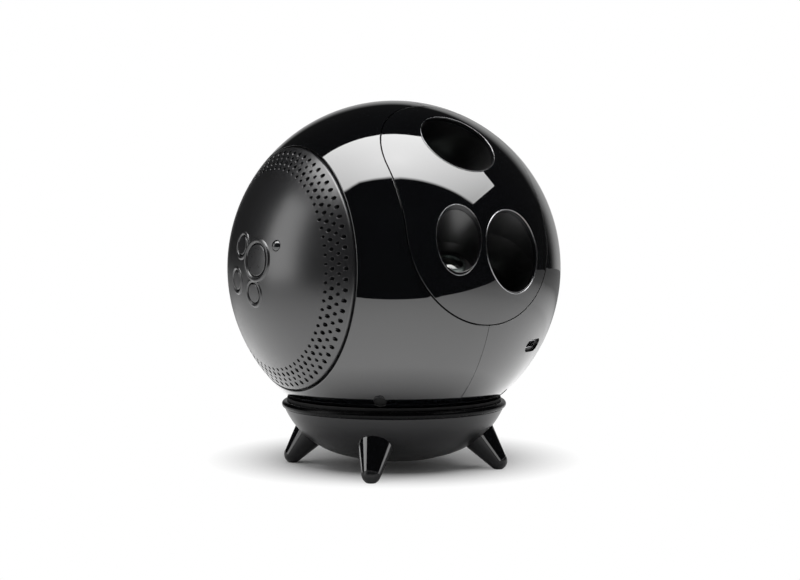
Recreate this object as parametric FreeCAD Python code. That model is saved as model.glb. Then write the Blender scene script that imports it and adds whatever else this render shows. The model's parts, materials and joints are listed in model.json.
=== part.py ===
import FreeCAD, Part
import math
import os

# A star projector: a glossy ball with three lens wells and a loudspeaker cap, lying in a dish on legs.
# Lengths are millimetres and angles degrees. The origin is on the table, under the ball's centre.
# +Z is up, -Y is the way the lenses face and -X is the side with the loudspeaker cap.
# The ball's own pieces are drawn round a ball centre at zero, level, and BALL_PLACE tilts and lifts them.

# Ball
BALL_RADIUS = 70.0
BALL_HEIGHT = 84.0
REST_TILT = 26.5
SHELL_WALL = 2.4
SEAM_GAP = 0.24
LIP_WALL = 1.1
LIP_REACH = 1.6
LIP_ROOT = 3.0
FIT_GAP = 0.1
RUN_GAP = 0.05
LEAST_EDGE = 0.01
MOVE_GAP = 0.3
OVERRUN = 8.0

# Lens panel, a long oval in front view
PANEL_HALF_WIDTH = 33.6
PANEL_HALF_LENGTH = 48.7
PANEL_WALL = 2.0
PANEL_GAP = 0.2
PANEL_LEDGE = 2.5
LEDGE_WALL = 1.9
WELL_EDGE = 0.35
PANEL_POST_RADIUS = 2.6
PANEL_POSTS = ((26.5, 22.0), (-26.5, 22.0), (27.5, -8.0), (-27.5, -8.0))

# Lens wells: side and height of the mouth in front view, and where the well looks
TOP_WELL_SIDE = -0.7
TOP_WELL_HEIGHT = 23.5
TOP_WELL_RADIUS = 15.5
TOP_WELL_RISE = 0.0
TOP_WELL_TURN = 0.0
TOP_WELL_DEPTH = 28.0
TOP_FLOOR_RADIUS = 12.3
TOP_LENS_RADIUS = 11.4
TOP_LENS_CROWN = 3.2
TOP_BARREL_RADIUS = 13.3
TOP_BARREL_START = 26.0
TOP_BARREL_END = 35.6
MIDDLE_WELL_SIDE = -14.4
MIDDLE_WELL_HEIGHT = -18.1
MIDDLE_WELL_RADIUS = 9.35
MIDDLE_WELL_RISE = 30.0
MIDDLE_WELL_TURN = -5.0
MIDDLE_WELL_DEPTH = 13.0
MIDDLE_FLOOR_RADIUS = 8.3
MIDDLE_LENS_RADIUS = 5.2
MIDDLE_LENS_CROWN = 1.6
MIDDLE_BARREL_RADIUS = 8.1
MIDDLE_BARREL_START = 14.4
MIDDLE_BARREL_END = 37.0
RIGHT_WELL_SIDE = 10.4
RIGHT_WELL_HEIGHT = -23.1
RIGHT_WELL_RADIUS = 13.9
RIGHT_WELL_RISE = 11.0
RIGHT_WELL_TURN = 0.0
RIGHT_WELL_DEPTH = 27.0
RIGHT_FLOOR_RADIUS = 10.5
RIGHT_LENS_RADIUS = 9.6
RIGHT_LENS_CROWN = 2.6
RIGHT_BARREL_RADIUS = 12.1
RIGHT_BARREL_START = 22.0
RIGHT_BARREL_END = 43.0
HOOD_WALL = 0.6
WELL_DRAFT = 2.0
WELL_BEND_DEPTH = 9.0
LENS_EDGE = 3.0
LENS_SHOULDER = 1.2
LENS_STEP = 1.0
LENS_RING_WALL = 0.9
LENS_RING_BITE = 0.6
LENS_RING_FOOT = 0.8
FLANGE_WALL = 2.0
FLANGE_REACH = 3.2

# Lens carrier behind the panel, and the standoffs to the chassis plate
CARRIER_FRONT = 40.0
CARRIER_WALL = 2.5
CARRIER_RADIUS = 51.5
CARRIER_LEFT = 42.0
SLEEVE_WALL = 2.3
SLEEVE_LENGTH = 8.0
STANDOFF_RADIUS = 2.5
STANDOFF_SIDE = 30.0
STANDOFF_RISE = 27.0
SCREW_RADIUS = 1.0
SCREW_HEAD_RADIUS = 2.1
SCREW_HEAD_WALL = 1.4
SCREW_BITE = 5.0

# Chassis plate across the middle of the ball
CHASSIS_WALL = 2.5
CHASSIS_RADIUS = 64.0
CHASSIS_LEFT = 40.0
CHASSIS_GROOVE_GAP = 0.2
RIB_WALL = 2.0
RIB_INNER_RADIUS = 61.5
SPEAKER_WINDOW_SIDE = 23.5
SPEAKER_WINDOW_HALF = 23.0
LUG_RADIUS = 4.5
LUG_BOTTOM = 64.2
LUG_TOP = 54.0

# Shell screws: the way from the ball's centre to each plugged hole
SCREW_WAY_SIDE = 0.431
SCREW_WAY_FRONT = 0.130
SCREW_WAY_DOWN = 0.893
PLUG_RADIUS = 2.6
PLUG_WALL = 1.5
PLUG_SINK = 0.7
SHELL_BOSS_RADIUS = 4.6
SHELL_BOSS_DEPTH = 64.5
SHELL_SCREW_SEAT = 66.2
SHELL_SCREW_HEAD = 1.6
SHELL_SCREW_RADIUS = 1.4
SHELL_SCREW_LENGTH = 10.0

# Loudspeaker cap
CAP_RADIUS = 48.7
CAP_GROOVE = 0.55
CAP_EDGE = 0.7
CAP_HOLE_EDGE = 0.4
CAP_WALL = 2.0
CAP_SKIRT_WALL = 1.2
FLANGE_FACE = 46.9
FLANGE_DEPTH = 1.8
FLANGE_INNER_RADIUS = 44.5
FLANGE_OUTER_RADIUS = 51.0
HOLES_IN_ROW = 72
HOLE_ROWS = ((40.3, 0.65, 0.4), (42.4, 0.85, -0.1), (44.5, 0.7, 0.4), (46.6, 0.85, -0.1))
HOLE_START = 48.0
CAP_POST_RADIUS = 2.8
CAP_POST_RING = 35.0
BOARD_POST_RADIUS = 2.0
BOARD_POST_RING = 23.0
MESH_WALL = 0.5
MESH_INNER_RADIUS = 38.5

# Push buttons in a diamond round the cap's middle
BIG_BUTTON_OFFSET = 8.2
BIG_BUTTON_RADIUS = 6.3
BIG_RING_RADIUS = 7.8
BIG_RING_WALL = 1.05
SMALL_BUTTON_OFFSET = 10.5
SMALL_BUTTON_RADIUS = 3.8
SMALL_RING_RADIUS = 5.05
SMALL_RING_WALL = 0.85
RING_SINK = 0.4
BUTTON_PROUD = 0.15
BUTTON_GAP = 0.45
BUTTON_EDGE = 0.4
BUTTON_BOTTOM = 66.4
BUTTON_FLANGE_WALL = 0.8
BUTTON_FLANGE_REACH = 0.9
BUTTON_STEM_RADIUS = 1.6
BUTTON_STEM_TIP = 61.9
INDICATOR_OFFSET = 21.0
INDICATOR_RADIUS = 2.2
INDICATOR_RISE = 69.2
INDICATOR_BOTTOM = 62.8

# Button board and its switches
BUTTON_BOARD_FACE = 59.0
BOARD_WALL = 1.6
BUTTON_BOARD_RADIUS = 27.0
SWITCH_SIDE = 6.0
SWITCH_HEIGHT = 3.6
SWITCH_POCKET_RADIUS = 2.3
SWITCH_POCKET_DEPTH = 2.7

# Loudspeaker behind the cap
BAFFLE_RADIUS = 48.5
BAFFLE_WALL = 2.0
SPEAKER_MOUTH = 18.0
SPEAKER_RIM = 21.5
SPEAKER_RIM_WALL = 1.2
SPEAKER_DEPTH = 9.0
SPEAKER_NECK = 12.0
SPEAKER_SHEET = 1.0
MAGNET_RADIUS = 13.0
MAGNET_DEPTH = 8.0
CONE_RADIUS = 17.2
CONE_ROLL = 1.4
CONE_NECK = 5.0
CONE_WALL = 0.5
COIL_GAP = 0.6

# Nebula lamp behind the top lens
GEAR_MODULE = 0.8
GEAR_TEETH = 45
PINION_TEETH = 15
GEAR_WIDTH = 4.0
GEAR_CUP_RADIUS = 16.4
GEAR_CUP_DEPTH = 4.8
TOOTH_HIGH_SHARE = 0.65
TOOTH_LOW_SHARE = 1.05
TOOTH_ROOT_SHARE = 0.27
TOOTH_TIP_SHARE = 0.12
RIPPLE_RADIUS = 15.2
RIPPLE_WALL = 1.6
CLIP_RADIUS = 14.7
CLIP_WALL = 1.0
CLIP_BITE = 0.5
MOTOR_ANGLE = 45.0
MOTOR_RADIUS = 7.0
MOTOR_LENGTH = 15.0
MOTOR_FACE = 29.6
MOTOR_EAR_SPAN = 11.5
MOTOR_EAR_RADIUS = 2.6
MOTOR_EAR_WALL = 1.2
MOTOR_POST_RADIUS = 2.0
MOTOR_BUSH_RADIUS = 2.6
MOTOR_BUSH_LENGTH = 1.6
SHAFT_RADIUS = 1.0
SHAFT_BITE = 4.0
NEBULA_BOARD_FACE = 19.9
NEBULA_BOARD_RADIUS = 10.0
LIGHT_RADIUS = 1.9
HEAT_SINK_RADIUS = 13.0
HEAT_SINK_BASE = 2.6
FIN_COUNT = 7
FIN_WALL = 1.2

# Star lamp behind the middle lens
LASER_RADIUS = 6.5
LASER_START = 19.0
LASER_LENGTH = 22.0
LASER_TAIL_RADIUS = 4.6
LASER_TAIL = 3.0
LASER_EYE_RADIUS = 1.5
LASER_EYE_DEPTH = 2.5
GRATING_WALL = 1.0

# Slide lamp behind the right lens
SLIDE_RADIUS = 9.8
SLIDE_WALL = 0.8
SLIDE_DEPTH = 40.0
SLIDE_BORE = 8.6
SLIDE_SINK_RADIUS = 13.0
SLIDE_SINK_LENGTH = 11.0

# Boards and battery behind the chassis plate
MAIN_BOARD_WIDTH = 56.0
MAIN_BOARD_HEIGHT = 46.0
MAIN_BOARD_SIDE = 4.0
MAIN_BOARD_MIDDLE = 9.0
BOARD_STANDOFF = 6.0
BOARD_POST_INSET = 4.0
CHIPS = ((-12.0, 18.0, 12.0, 12.0, 1.4), (10.0, 20.0, 8.0, 8.0, 1.2), (14.0, 2.0, 10.0, 6.0, 1.8),
         (-16.0, -2.0, 7.0, 9.0, 5.5), (-2.0, 0.0, 5.0, 5.0, 7.0))
CELL_RADIUS = 9.1
CELL_LENGTH = 60.0
CELL_CAP_RADIUS = 3.0
CELL_CAP_WALL = 1.0
CELL_BACK = 20.0
CELL_DROP = 38.0
CRADLE_HALF_LENGTH = 28.0
CRADLE_DEPTH = 24.0
CRADLE_WALL = 1.6
CRADLE_GAP = 0.2

# Charging port, where its middle lies with the ball at rest
PORT_TURN = 29.5
PORT_RISE = -26.2
PORT_RECESS_WIDTH = 12.6
PORT_RECESS_HEIGHT = 5.8
PORT_RECESS_DEPTH = 1.2
SOCKET_WIDTH = 8.94
SOCKET_HEIGHT = 3.26
SOCKET_LENGTH = 7.3
SOCKET_SHEET = 0.3
TONGUE_WIDTH = 6.7
TONGUE_WALL = 0.7
TONGUE_LENGTH = 4.5
PORT_BOARD_WIDTH = 14.0
PORT_BOARD_LENGTH = 9.0
PORT_BOARD_WALL = 1.0
PORT_SHELF_WALL = 1.5
PORT_SHELF_LENGTH = 7.0

# Stand
STAND_RADIUS = 46.1
STAND_RIM_HEIGHT = 25.1
BOWL_BOTTOM = 3.9
BOWL_FLAT_RADIUS = 13.0
BOWL_WALL = 2.0
RIM_BORE = 43.1
RIM_DEPTH = 3.8
LEDGE_BORE = 41.5
LEDGE_DEPTH = 1.4
BOWL_SHOULDER = ((38.9, 14.7), (22.0, 5.6), (17.3, 4.35))
DISH_GAP = 2.0
DISH_WALL = 1.8
DISH_RIM_INNER = 40.0
DISH_RIM_WALL = 1.8
WEIGHT_RADIUS = 16.0
WEIGHT_WALL = 3.4
WEIGHT_LIFT = 0.5
WEIGHT_HOLE_RADIUS = 4.0
LEG_LEAN = 38.0
LEG_FLARE = 14.0
LEG_TIP_RADIUS = 3.85
LEG_TIP_HEIGHT = 3.4
LEG_REACH = 44.4
LEG_LENGTH = 19.5
LEG_PEG_RADIUS = 3.0
LEG_PEG_IN = 14.9
INLAY_START = -0.6
INLAY_WALL = 0.8
INLAY_SPREAD = 150.0
LEG_TURNS = {"front_right": 45.0, "back_right": 135.0, "back_left": 225.0, "front_left": 315.0}

# Turning ring and the soft lip that the ball lies on
RING_LIFT = 0.15
RING_BEAD_TOP = 28.2
RING_BEAD_RADIUS = 45.5
RING_BEAD_MID = (47.3, 26.5)
RING_INNER_RADIUS = 42.2
RING_SPIGOT = 1.9
PAD_RADIUS = 45.1
PAD_TOP = 29.5
PAD_BOTTOM = 27.0
PAD_INNER_RADIUS = 42.6

V = FreeCAD.Vector
ZERO = V(0, 0, 0)
X_WAY = V(1, 0, 0)
Z_WAY = V(0, 0, 1)
FRONT_WAY = V(0, -1, 0)
LEFT_WAY = V(-1, 0, 0)
SLANT_WAY = V(1.0, 0.4, 0.3)
FAR = BALL_RADIUS + OVERRUN
BALL_PLACE = FreeCAD.Placement(V(0, 0, BALL_HEIGHT), FreeCAD.Rotation(X_WAY, -REST_TILT))


# Small helpers
def sin(angle):
    return math.sin(math.radians(angle))


def cos(angle):
    return math.cos(math.radians(angle))


def tan(angle):
    return math.tan(math.radians(angle))


def across(radius, distance):
    """How far a circle of this radius reaches when it is met at this distance from its centre."""
    return math.sqrt(radius ** 2 - distance ** 2)


def outline(points):
    """Close a list of places into edges; a pair of places is an arc's middle and end."""
    edges = []
    here = points[0]
    for step in list(points[1:]) + [points[0]]:
        arc = isinstance(step[0], V)
        end = step[1] if arc else step
        if arc:
            edges.append(Part.Arc(here, step[0], end).toShape())
        elif here.distanceToPoint(end) > LEAST_EDGE:
            edges.append(Part.LineSegment(here, end).toShape())
        here = end
    return edges


def lathe(*points):
    """Turn an outline of (radius, height) points about Z into a solid."""
    def place(point):
        if isinstance(point[0], tuple):
            return (V(point[0][0], 0, point[0][1]), V(point[1][0], 0, point[1][1]))
        return V(point[0], 0, point[1])
    face = Part.Face(Part.Wire(outline([place(point) for point in points])))
    return face.revolve(ZERO, Z_WAY, 2 * HALF_TURN)


def tube(inner, outer, low, high):
    """A straight ring about Z."""
    if inner == 0:
        return Part.makeCylinder(outer, high - low, V(0, 0, low))
    return lathe((inner, low), (outer, low), (outer, high), (inner, high))


def box(low, high):
    """A block between two corners."""
    return Part.makeBox(high[0] - low[0], high[1] - low[1], high[2] - low[2], V(*low))


def sphere(radius, axis=X_WAY):
    return Part.makeSphere(radius, ZERO, axis)


def layer(outer, inner, axis=X_WAY):
    return sphere(outer, axis).cut(sphere(inner, axis))


def post(radius, start, end):
    """A round bar between two places."""
    way = end - start
    return Part.makeCylinder(radius, way.Length, start, way)


def look(place, way):
    """A frame with its +Z along way."""
    return FreeCAD.Placement(place, FreeCAD.Rotation(Z_WAY, way))


def put(shape, placement):
    moved = shape.copy()
    moved.Placement = placement.multiply(moved.Placement)
    return moved


def fuse(*shapes):
    joined = shapes[0].fuse(list(shapes[1:]))
    return joined.removeSplitter()


def slot_prism(width, height, low, high):
    """A bar along Z with an oval section: straight top and bottom and round ends."""
    half = width / 2 - height / 2
    tall = height / 2
    corners = [V(-half, -tall, low), V(half, -tall, low), (V(half + tall, 0, low), V(half, tall, low)),
               V(-half, tall, low), (V(-half - tall, 0, low), V(-half, -tall, low))]
    face = Part.Face(Part.Wire(outline(corners)))
    return face.extrude(V(0, 0, high - low))


def panel_prism(grow):
    """The panel's long oval, grown by a gap, from the ball's middle out past its front."""
    prism = slot_prism(2 * (PANEL_HALF_LENGTH + grow), 2 * (PANEL_HALF_WIDTH + grow), 0, FAR)
    return put(prism, FreeCAD.Placement(ZERO, FreeCAD.Rotation(Z_WAY, X_WAY, FRONT_WAY, "ZXY")))


def rim_edges(shape, reach, start, way, nearest, furthest):
    """A shape's edges that lie this far from the ball's centre and round an axis, between two distances."""
    chosen = []
    for edge in shape.Edges:
        if edge.Degenerated:
            continue
        places = edge.discretize(EDGE_SAMPLES)
        offsets = [(place - start).cross(way).Length for place in places]
        on_sphere = max(abs(place.Length - reach) for place in places) < FIT_GAP
        if on_sphere and min(offsets) > nearest - FIT_GAP and max(offsets) < furthest + FIT_GAP:
            chosen.append(edge)
    return chosen


def half_ball(side, start):
    """All that lies on one side of the seam, from a distance off it."""
    if side > 0:
        return box((start, -FAR, -FAR), (FAR, FAR, FAR))
    return box((-FAR, -FAR, -FAR), (-start, FAR, FAR))


# Lens wells and what stands in them
class Well:
    """One well's mouth, aim and sizes; its pieces are drawn along Z with the mouth at zero."""

    def __init__(self, side, height, rise, turn, radius, draft_end, floor, depth, lens, crown, barrel):
        back = -math.sqrt(BALL_RADIUS ** 2 - side ** 2 - height ** 2)
        self.mouth = V(side, back, height)
        self.way = V(sin(turn) * cos(rise), -cos(turn) * cos(rise), sin(rise))
        self.place = look(self.mouth, self.way)
        self.radius = radius
        self.bend = draft_end
        self.floor = floor
        self.depth = depth
        self.lens = lens
        self.crown = crown
        self.barrel, self.barrel_start, self.barrel_end = barrel

    def wall(self, height):
        """The well's radius at a height, above its bend."""
        return self.radius + height * tan(WELL_DRAFT)

    def cutter(self):
        """The free space of the well, from outside the ball to its floor."""
        out = self.radius
        return lathe((0, -self.depth), (self.floor, -self.depth), (self.wall(-self.bend), -self.bend),
                     (self.wall(out), out), (0, out))

    def hood(self, bore, flange_depth):
        """The matte tube: wall of the well, floor, lens seat and barrel."""
        seat = self.depth + LENS_EDGE
        stop = seat + LENS_SHOULDER
        out = self.radius
        solid = lathe((0, -self.barrel_end), (self.barrel, -self.barrel_end), (self.barrel, -self.barrel_start),
                      (self.wall(-self.bend) + HOOD_WALL, -self.bend), (self.wall(out) + HOOD_WALL, out),
                      (0, out))
        if flange_depth:
            flange = tube(0, self.barrel + FLANGE_REACH, -flange_depth, FLANGE_WALL - flange_depth)
            solid = fuse(solid, flange)
        hollow = [self.cutter(), tube(0, self.lens + RUN_GAP, -seat, -self.depth),
                  tube(0, self.lens - LENS_STEP, -stop, -seat), tube(0, bore, -self.barrel_end, -stop)]
        solid = put(solid.cut(hollow), self.place)
        return solid.common(sphere(BALL_RADIUS - PANEL_WALL - FIT_GAP))

    def glass(self):
        """The lens, flat behind and crowned in front."""
        back = -self.depth - LENS_EDGE
        edge = -self.depth - LENS_RING_WALL / 2
        curve = (self.lens ** 2 + self.crown ** 2) / (2 * self.crown)
        crown = Part.makeSphere(curve, V(0, 0, edge + self.crown - curve))
        return put(tube(0, self.lens, back, edge + self.crown).common(crown), self.place)

    def ring(self):
        """The retaining ring on the well's floor, round the lens."""
        inner = self.lens - LENS_RING_BITE
        foot = self.lens + LENS_RING_FOOT
        low = -self.depth
        high = LENS_RING_WALL - self.depth
        solid = lathe((inner, low), (foot, low), (foot, (low + high) / 2), ((inner + foot) / 2, high),
                      (inner, high))
        return put(solid, self.place)


TOP = Well(TOP_WELL_SIDE, TOP_WELL_HEIGHT, TOP_WELL_RISE, TOP_WELL_TURN, TOP_WELL_RADIUS, WELL_BEND_DEPTH,
           TOP_FLOOR_RADIUS, TOP_WELL_DEPTH, TOP_LENS_RADIUS, TOP_LENS_CROWN,
           (TOP_BARREL_RADIUS, TOP_BARREL_START, TOP_BARREL_END))
MIDDLE = Well(MIDDLE_WELL_SIDE, MIDDLE_WELL_HEIGHT, MIDDLE_WELL_RISE, MIDDLE_WELL_TURN, MIDDLE_WELL_RADIUS,
              WELL_BEND_DEPTH, MIDDLE_FLOOR_RADIUS, MIDDLE_WELL_DEPTH, MIDDLE_LENS_RADIUS, MIDDLE_LENS_CROWN,
              (MIDDLE_BARREL_RADIUS, MIDDLE_BARREL_START, MIDDLE_BARREL_END))
RIGHT = Well(RIGHT_WELL_SIDE, RIGHT_WELL_HEIGHT, RIGHT_WELL_RISE, RIGHT_WELL_TURN, RIGHT_WELL_RADIUS,
             WELL_BEND_DEPTH, RIGHT_FLOOR_RADIUS, RIGHT_WELL_DEPTH, RIGHT_LENS_RADIUS, RIGHT_LENS_CROWN,
             (RIGHT_BARREL_RADIUS, RIGHT_BARREL_START, RIGHT_BARREL_END))

# Places that several pieces share
CARRIER_BACK = CARRIER_FRONT - CARRIER_WALL
CAP_PLACE = look(ZERO, LEFT_WAY)
TOP_AXIS = look(V(TOP_WELL_SIDE, 0, TOP_WELL_HEIGHT), FRONT_WAY)
TOP_MOUTH_HEIGHT = -TOP.mouth.y
GEAR_PITCH = GEAR_MODULE * GEAR_TEETH / 2
PINION_PITCH = GEAR_MODULE * PINION_TEETH / 2
GEAR_FRONT = CARRIER_BACK - MOVE_GAP
GEAR_BACK = GEAR_FRONT - GEAR_WIDTH
MOTOR_WAY = V(cos(MOTOR_ANGLE), 0, sin(MOTOR_ANGLE))
MOTOR_MIDDLE = V(TOP_WELL_SIDE, 0, TOP_WELL_HEIGHT) + MOTOR_WAY * (GEAR_PITCH + PINION_PITCH)
MOTOR_AXIS = look(MOTOR_MIDDLE, FRONT_WAY)
EAR_WAY = V(-sin(MOTOR_ANGLE), 0, cos(MOTOR_ANGLE))
EAR_PLACES = (MOTOR_MIDDLE + EAR_WAY * MOTOR_EAR_SPAN, MOTOR_MIDDLE - EAR_WAY * MOTOR_EAR_SPAN)
SCREW_WAYS = (V(SCREW_WAY_SIDE, -SCREW_WAY_FRONT, -SCREW_WAY_DOWN).normalize(),
              V(-SCREW_WAY_SIDE, -SCREW_WAY_FRONT, -SCREW_WAY_DOWN).normalize())
QUARTERS = (45.0, 135.0, 225.0, 315.0)
EDGE_SAMPLES = 9
HALF_TURN = 180.0


def front_place(side, height, front):
    """A place given as seen from the front: side, height and distance in front of the ball's middle."""
    return V(side, -front, height)


def cap_place(ring, angle, left):
    """A place given round the cap's axis, from the front upwards, and its distance to the left."""
    return V(-left, -ring * cos(angle), ring * sin(angle))


def button_way(front, up):
    """The way from the ball's centre to a place on the cap."""
    left = math.sqrt(BALL_RADIUS ** 2 - front ** 2 - up ** 2)
    return V(-left, -front, up).normalize()


BUTTONS = {
    "button_large": (BIG_BUTTON_OFFSET, 0, BIG_BUTTON_RADIUS, BIG_RING_RADIUS, BIG_RING_WALL),
    "button_top": (0, SMALL_BUTTON_OFFSET, SMALL_BUTTON_RADIUS, SMALL_RING_RADIUS, SMALL_RING_WALL),
    "button_back": (-SMALL_BUTTON_OFFSET, 0, SMALL_BUTTON_RADIUS, SMALL_RING_RADIUS, SMALL_RING_WALL),
    "button_bottom": (0, -SMALL_BUTTON_OFFSET, SMALL_BUTTON_RADIUS, SMALL_RING_RADIUS, SMALL_RING_WALL),
}


# Small screws: each is given by its seat, the way its shank points and what it goes through
def screw(seat, way, through):
    head = post(SCREW_HEAD_RADIUS, seat - way * SCREW_HEAD_WALL, seat)
    return head.fuse(post(SCREW_RADIUS, seat, seat + way * (through + SCREW_BITE))).removeSplitter()


def screw_hole(seat, way, through):
    reach = through + SCREW_BITE + FIT_GAP
    return post(SCREW_RADIUS + RUN_GAP, seat - way * FIT_GAP, seat + way * reach)


PANEL_SCREWS = [(front_place(side, height, CARRIER_BACK), FRONT_WAY, CARRIER_WALL)
                for side, height in PANEL_POSTS]
CAP_SCREWS = [(cap_place(CAP_POST_RING, angle, FLANGE_FACE - FLANGE_DEPTH - BAFFLE_WALL), LEFT_WAY, BAFFLE_WALL)
              for angle in QUARTERS]
BOARD_SCREWS = [(cap_place(BOARD_POST_RING, angle, BUTTON_BOARD_FACE - BOARD_WALL), LEFT_WAY, BOARD_WALL)
                for angle in QUARTERS]


def inner_screws():
    return Part.makeCompound([screw(*one) for one in PANEL_SCREWS + CAP_SCREWS + BOARD_SCREWS])


# Half shells
def port_place():
    """The charging port's frame: +Z out of the ball, X level when the ball is at rest."""
    out = V(sin(PORT_TURN) * cos(PORT_RISE), -cos(PORT_TURN) * cos(PORT_RISE), sin(PORT_RISE))
    level = FreeCAD.Rotation(X_WAY, REST_TILT)
    wide = level.multVec(V(cos(PORT_TURN), sin(PORT_TURN), 0))
    return FreeCAD.Placement(ZERO, FreeCAD.Rotation(wide, ZERO, level.multVec(out), "ZXY"))


def chassis_ribs():
    """Two round ribs that hold the chassis plate's edge between them."""
    front = CHASSIS_GROOVE_GAP
    back = -CHASSIS_WALL - CHASSIS_GROOVE_GAP
    ribs = [tube(RIB_INNER_RADIUS, BALL_RADIUS, front, front + RIB_WALL),
            tube(RIB_INNER_RADIUS, BALL_RADIUS, back - RIB_WALL, back)]
    inside = sphere(BALL_RADIUS - SHELL_WALL + FIT_GAP)
    return [put(rib, look(ZERO, FRONT_WAY)).common(inside) for rib in ribs]


def shell_boss(way):
    boss = post(SHELL_BOSS_RADIUS, way * SHELL_BOSS_DEPTH, way * (BALL_RADIUS - SHELL_WALL / 2))
    return boss.common(sphere(BALL_RADIUS - SHELL_WALL / 2))


def half_shell(side):
    """Half of the ball with the panel's ledge, the chassis ribs and one screw boss."""
    inner = BALL_RADIUS - SHELL_WALL
    ledge_top = BALL_RADIUS - PANEL_WALL - FIT_GAP
    ledge = layer(ledge_top, ledge_top - LEDGE_WALL, SLANT_WAY).common(panel_prism(PANEL_LEDGE))
    shell = layer(BALL_RADIUS, inner, SLANT_WAY).cut(panel_prism(PANEL_GAP))
    way = SCREW_WAYS[0] if side > 0 else SCREW_WAYS[1]
    pieces = chassis_ribs() + [shell_boss(way)]
    if side < 0:
        keep = box((-CHASSIS_LEFT, -FAR, -FAR), (FAR, FAR, FAR))
        pieces = [piece.common(keep) for piece in pieces]
        flange = tube(FLANGE_INNER_RADIUS, FLANGE_OUTER_RADIUS, FLANGE_FACE - FLANGE_DEPTH, FLANGE_FACE)
        pieces.append(put(flange, CAP_PLACE).common(sphere(BALL_RADIUS - SHELL_WALL / 2)))
        hole_radius = CAP_RADIUS + CAP_GROOVE
        shell = shell.cut(put(tube(0, hole_radius, FLANGE_FACE, FAR), CAP_PLACE))
        rims = rim_edges(shell, BALL_RADIUS, ZERO, LEFT_WAY, hole_radius, hole_radius)
        shell = shell.makeFillet(CAP_HOLE_EDGE, rims)
    shell = fuse(shell, ledge.cut(panel_prism(-PANEL_LEDGE)), *pieces)
    shell = shell.common(half_ball(side, SEAM_GAP / 2))
    head_room = post(PLUG_RADIUS + FIT_GAP, way * SHELL_SCREW_SEAT, way * FAR)
    shank_room = post(SHELL_SCREW_RADIUS + FIT_GAP, way * LUG_TOP, way * FAR)
    return shell.cut([head_room, shank_room])


def left_shell():
    """The half with the loudspeaker cap; its seam lip reaches into the other half."""
    inner = BALL_RADIUS - SHELL_WALL
    lip = layer(inner + LIP_WALL, inner).common(box((-LIP_ROOT, -FAR, -FAR), (LIP_REACH, FAR, FAR)))
    return fuse(half_shell(-1), lip.cut(panel_prism(PANEL_GAP)))


def right_shell():
    """The half with the charging port, rebated for the seam lip."""
    inner = BALL_RADIUS - SHELL_WALL
    rebate = layer(inner + LIP_WALL + FIT_GAP, inner - FIT_GAP, SLANT_WAY)
    rebate = rebate.common(box((-FAR, -FAR, -FAR), (LIP_REACH + FIT_GAP, FAR, FAR)))
    place = port_place()
    low = -SOCKET_HEIGHT / 2 - PORT_BOARD_WALL
    top = BALL_RADIUS - SHELL_WALL / 2
    shelf = box((-PORT_BOARD_WIDTH / 2, low - PORT_SHELF_WALL, top - SHELL_WALL - PORT_SHELF_LENGTH),
                (PORT_BOARD_WIDTH / 2, low, top))
    recess = slot_prism(PORT_RECESS_WIDTH, PORT_RECESS_HEIGHT, BALL_RADIUS - PORT_RECESS_DEPTH, FAR)
    slot = slot_prism(SOCKET_WIDTH + 2 * FIT_GAP, SOCKET_HEIGHT + 2 * FIT_GAP, LUG_TOP, FAR)
    shell = half_shell(1).cut(rebate)
    shell = fuse(shell, put(shelf, place).common(sphere(top)))
    return shell.cut([put(recess, place), put(slot, place)])


# Lens panel
def lens_panel():
    """The glossy front with three wells and four posts that reach the lens carrier."""
    inner = BALL_RADIUS - PANEL_WALL
    panel = layer(BALL_RADIUS, inner).common(panel_prism(-PANEL_GAP))
    posts = []
    for side, height in PANEL_POSTS:
        front = math.sqrt((inner + PANEL_WALL / 2) ** 2 - side ** 2 - height ** 2)
        start = front_place(side, height, CARRIER_FRONT)
        bar = post(PANEL_POST_RADIUS, start, front_place(side, height, front))
        posts.append(bar.common(sphere(BALL_RADIUS - FIT_GAP)))
    panel = panel.cut([put(well.cutter(), well.place) for well in (TOP, MIDDLE, RIGHT)])
    rims = []
    for well in (TOP, MIDDLE, RIGHT):
        nearest, furthest = well.wall(-well.radius), well.wall(well.radius)
        rims += rim_edges(panel, BALL_RADIUS, well.mouth, well.way, nearest, furthest)
    panel = fuse(panel.makeFillet(WELL_EDGE, rims), *posts)
    return panel.cut([screw_hole(*one) for one in PANEL_SCREWS])


# Hoods
def top_hood():
    flange_depth = TOP_MOUTH_HEIGHT - CARRIER_FRONT
    hood = TOP.hood(TOP_LENS_RADIUS - LENS_STEP, flange_depth)
    return hood.cut(put(clip_ring(TOP_BARREL_RADIUS - CLIP_BITE, RUN_GAP), TOP_AXIS))


def middle_hood():
    return MIDDLE.hood(LASER_RADIUS + RUN_GAP, 0)


def right_hood():
    room = put(tube(0, SLIDE_RADIUS + FIT_GAP, -RIGHT_BARREL_END, -SLIDE_DEPTH), RIGHT.place)
    return RIGHT.hood(SLIDE_BORE, 0).cut(room)


# Lens carrier
def sleeve(well, far_side):
    """The short tube on the carrier that a slanted barrel stands in."""
    start = (-well.mouth.y - CARRIER_FRONT) / -well.way.y
    low = -start - SLEEVE_LENGTH
    solid = put(tube(0, well.barrel + SLEEVE_WALL, low, 0), well.place)
    return solid.common(box((-FAR, -CARRIER_BACK - RUN_GAP, -FAR), (FAR, far_side, FAR)))


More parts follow.
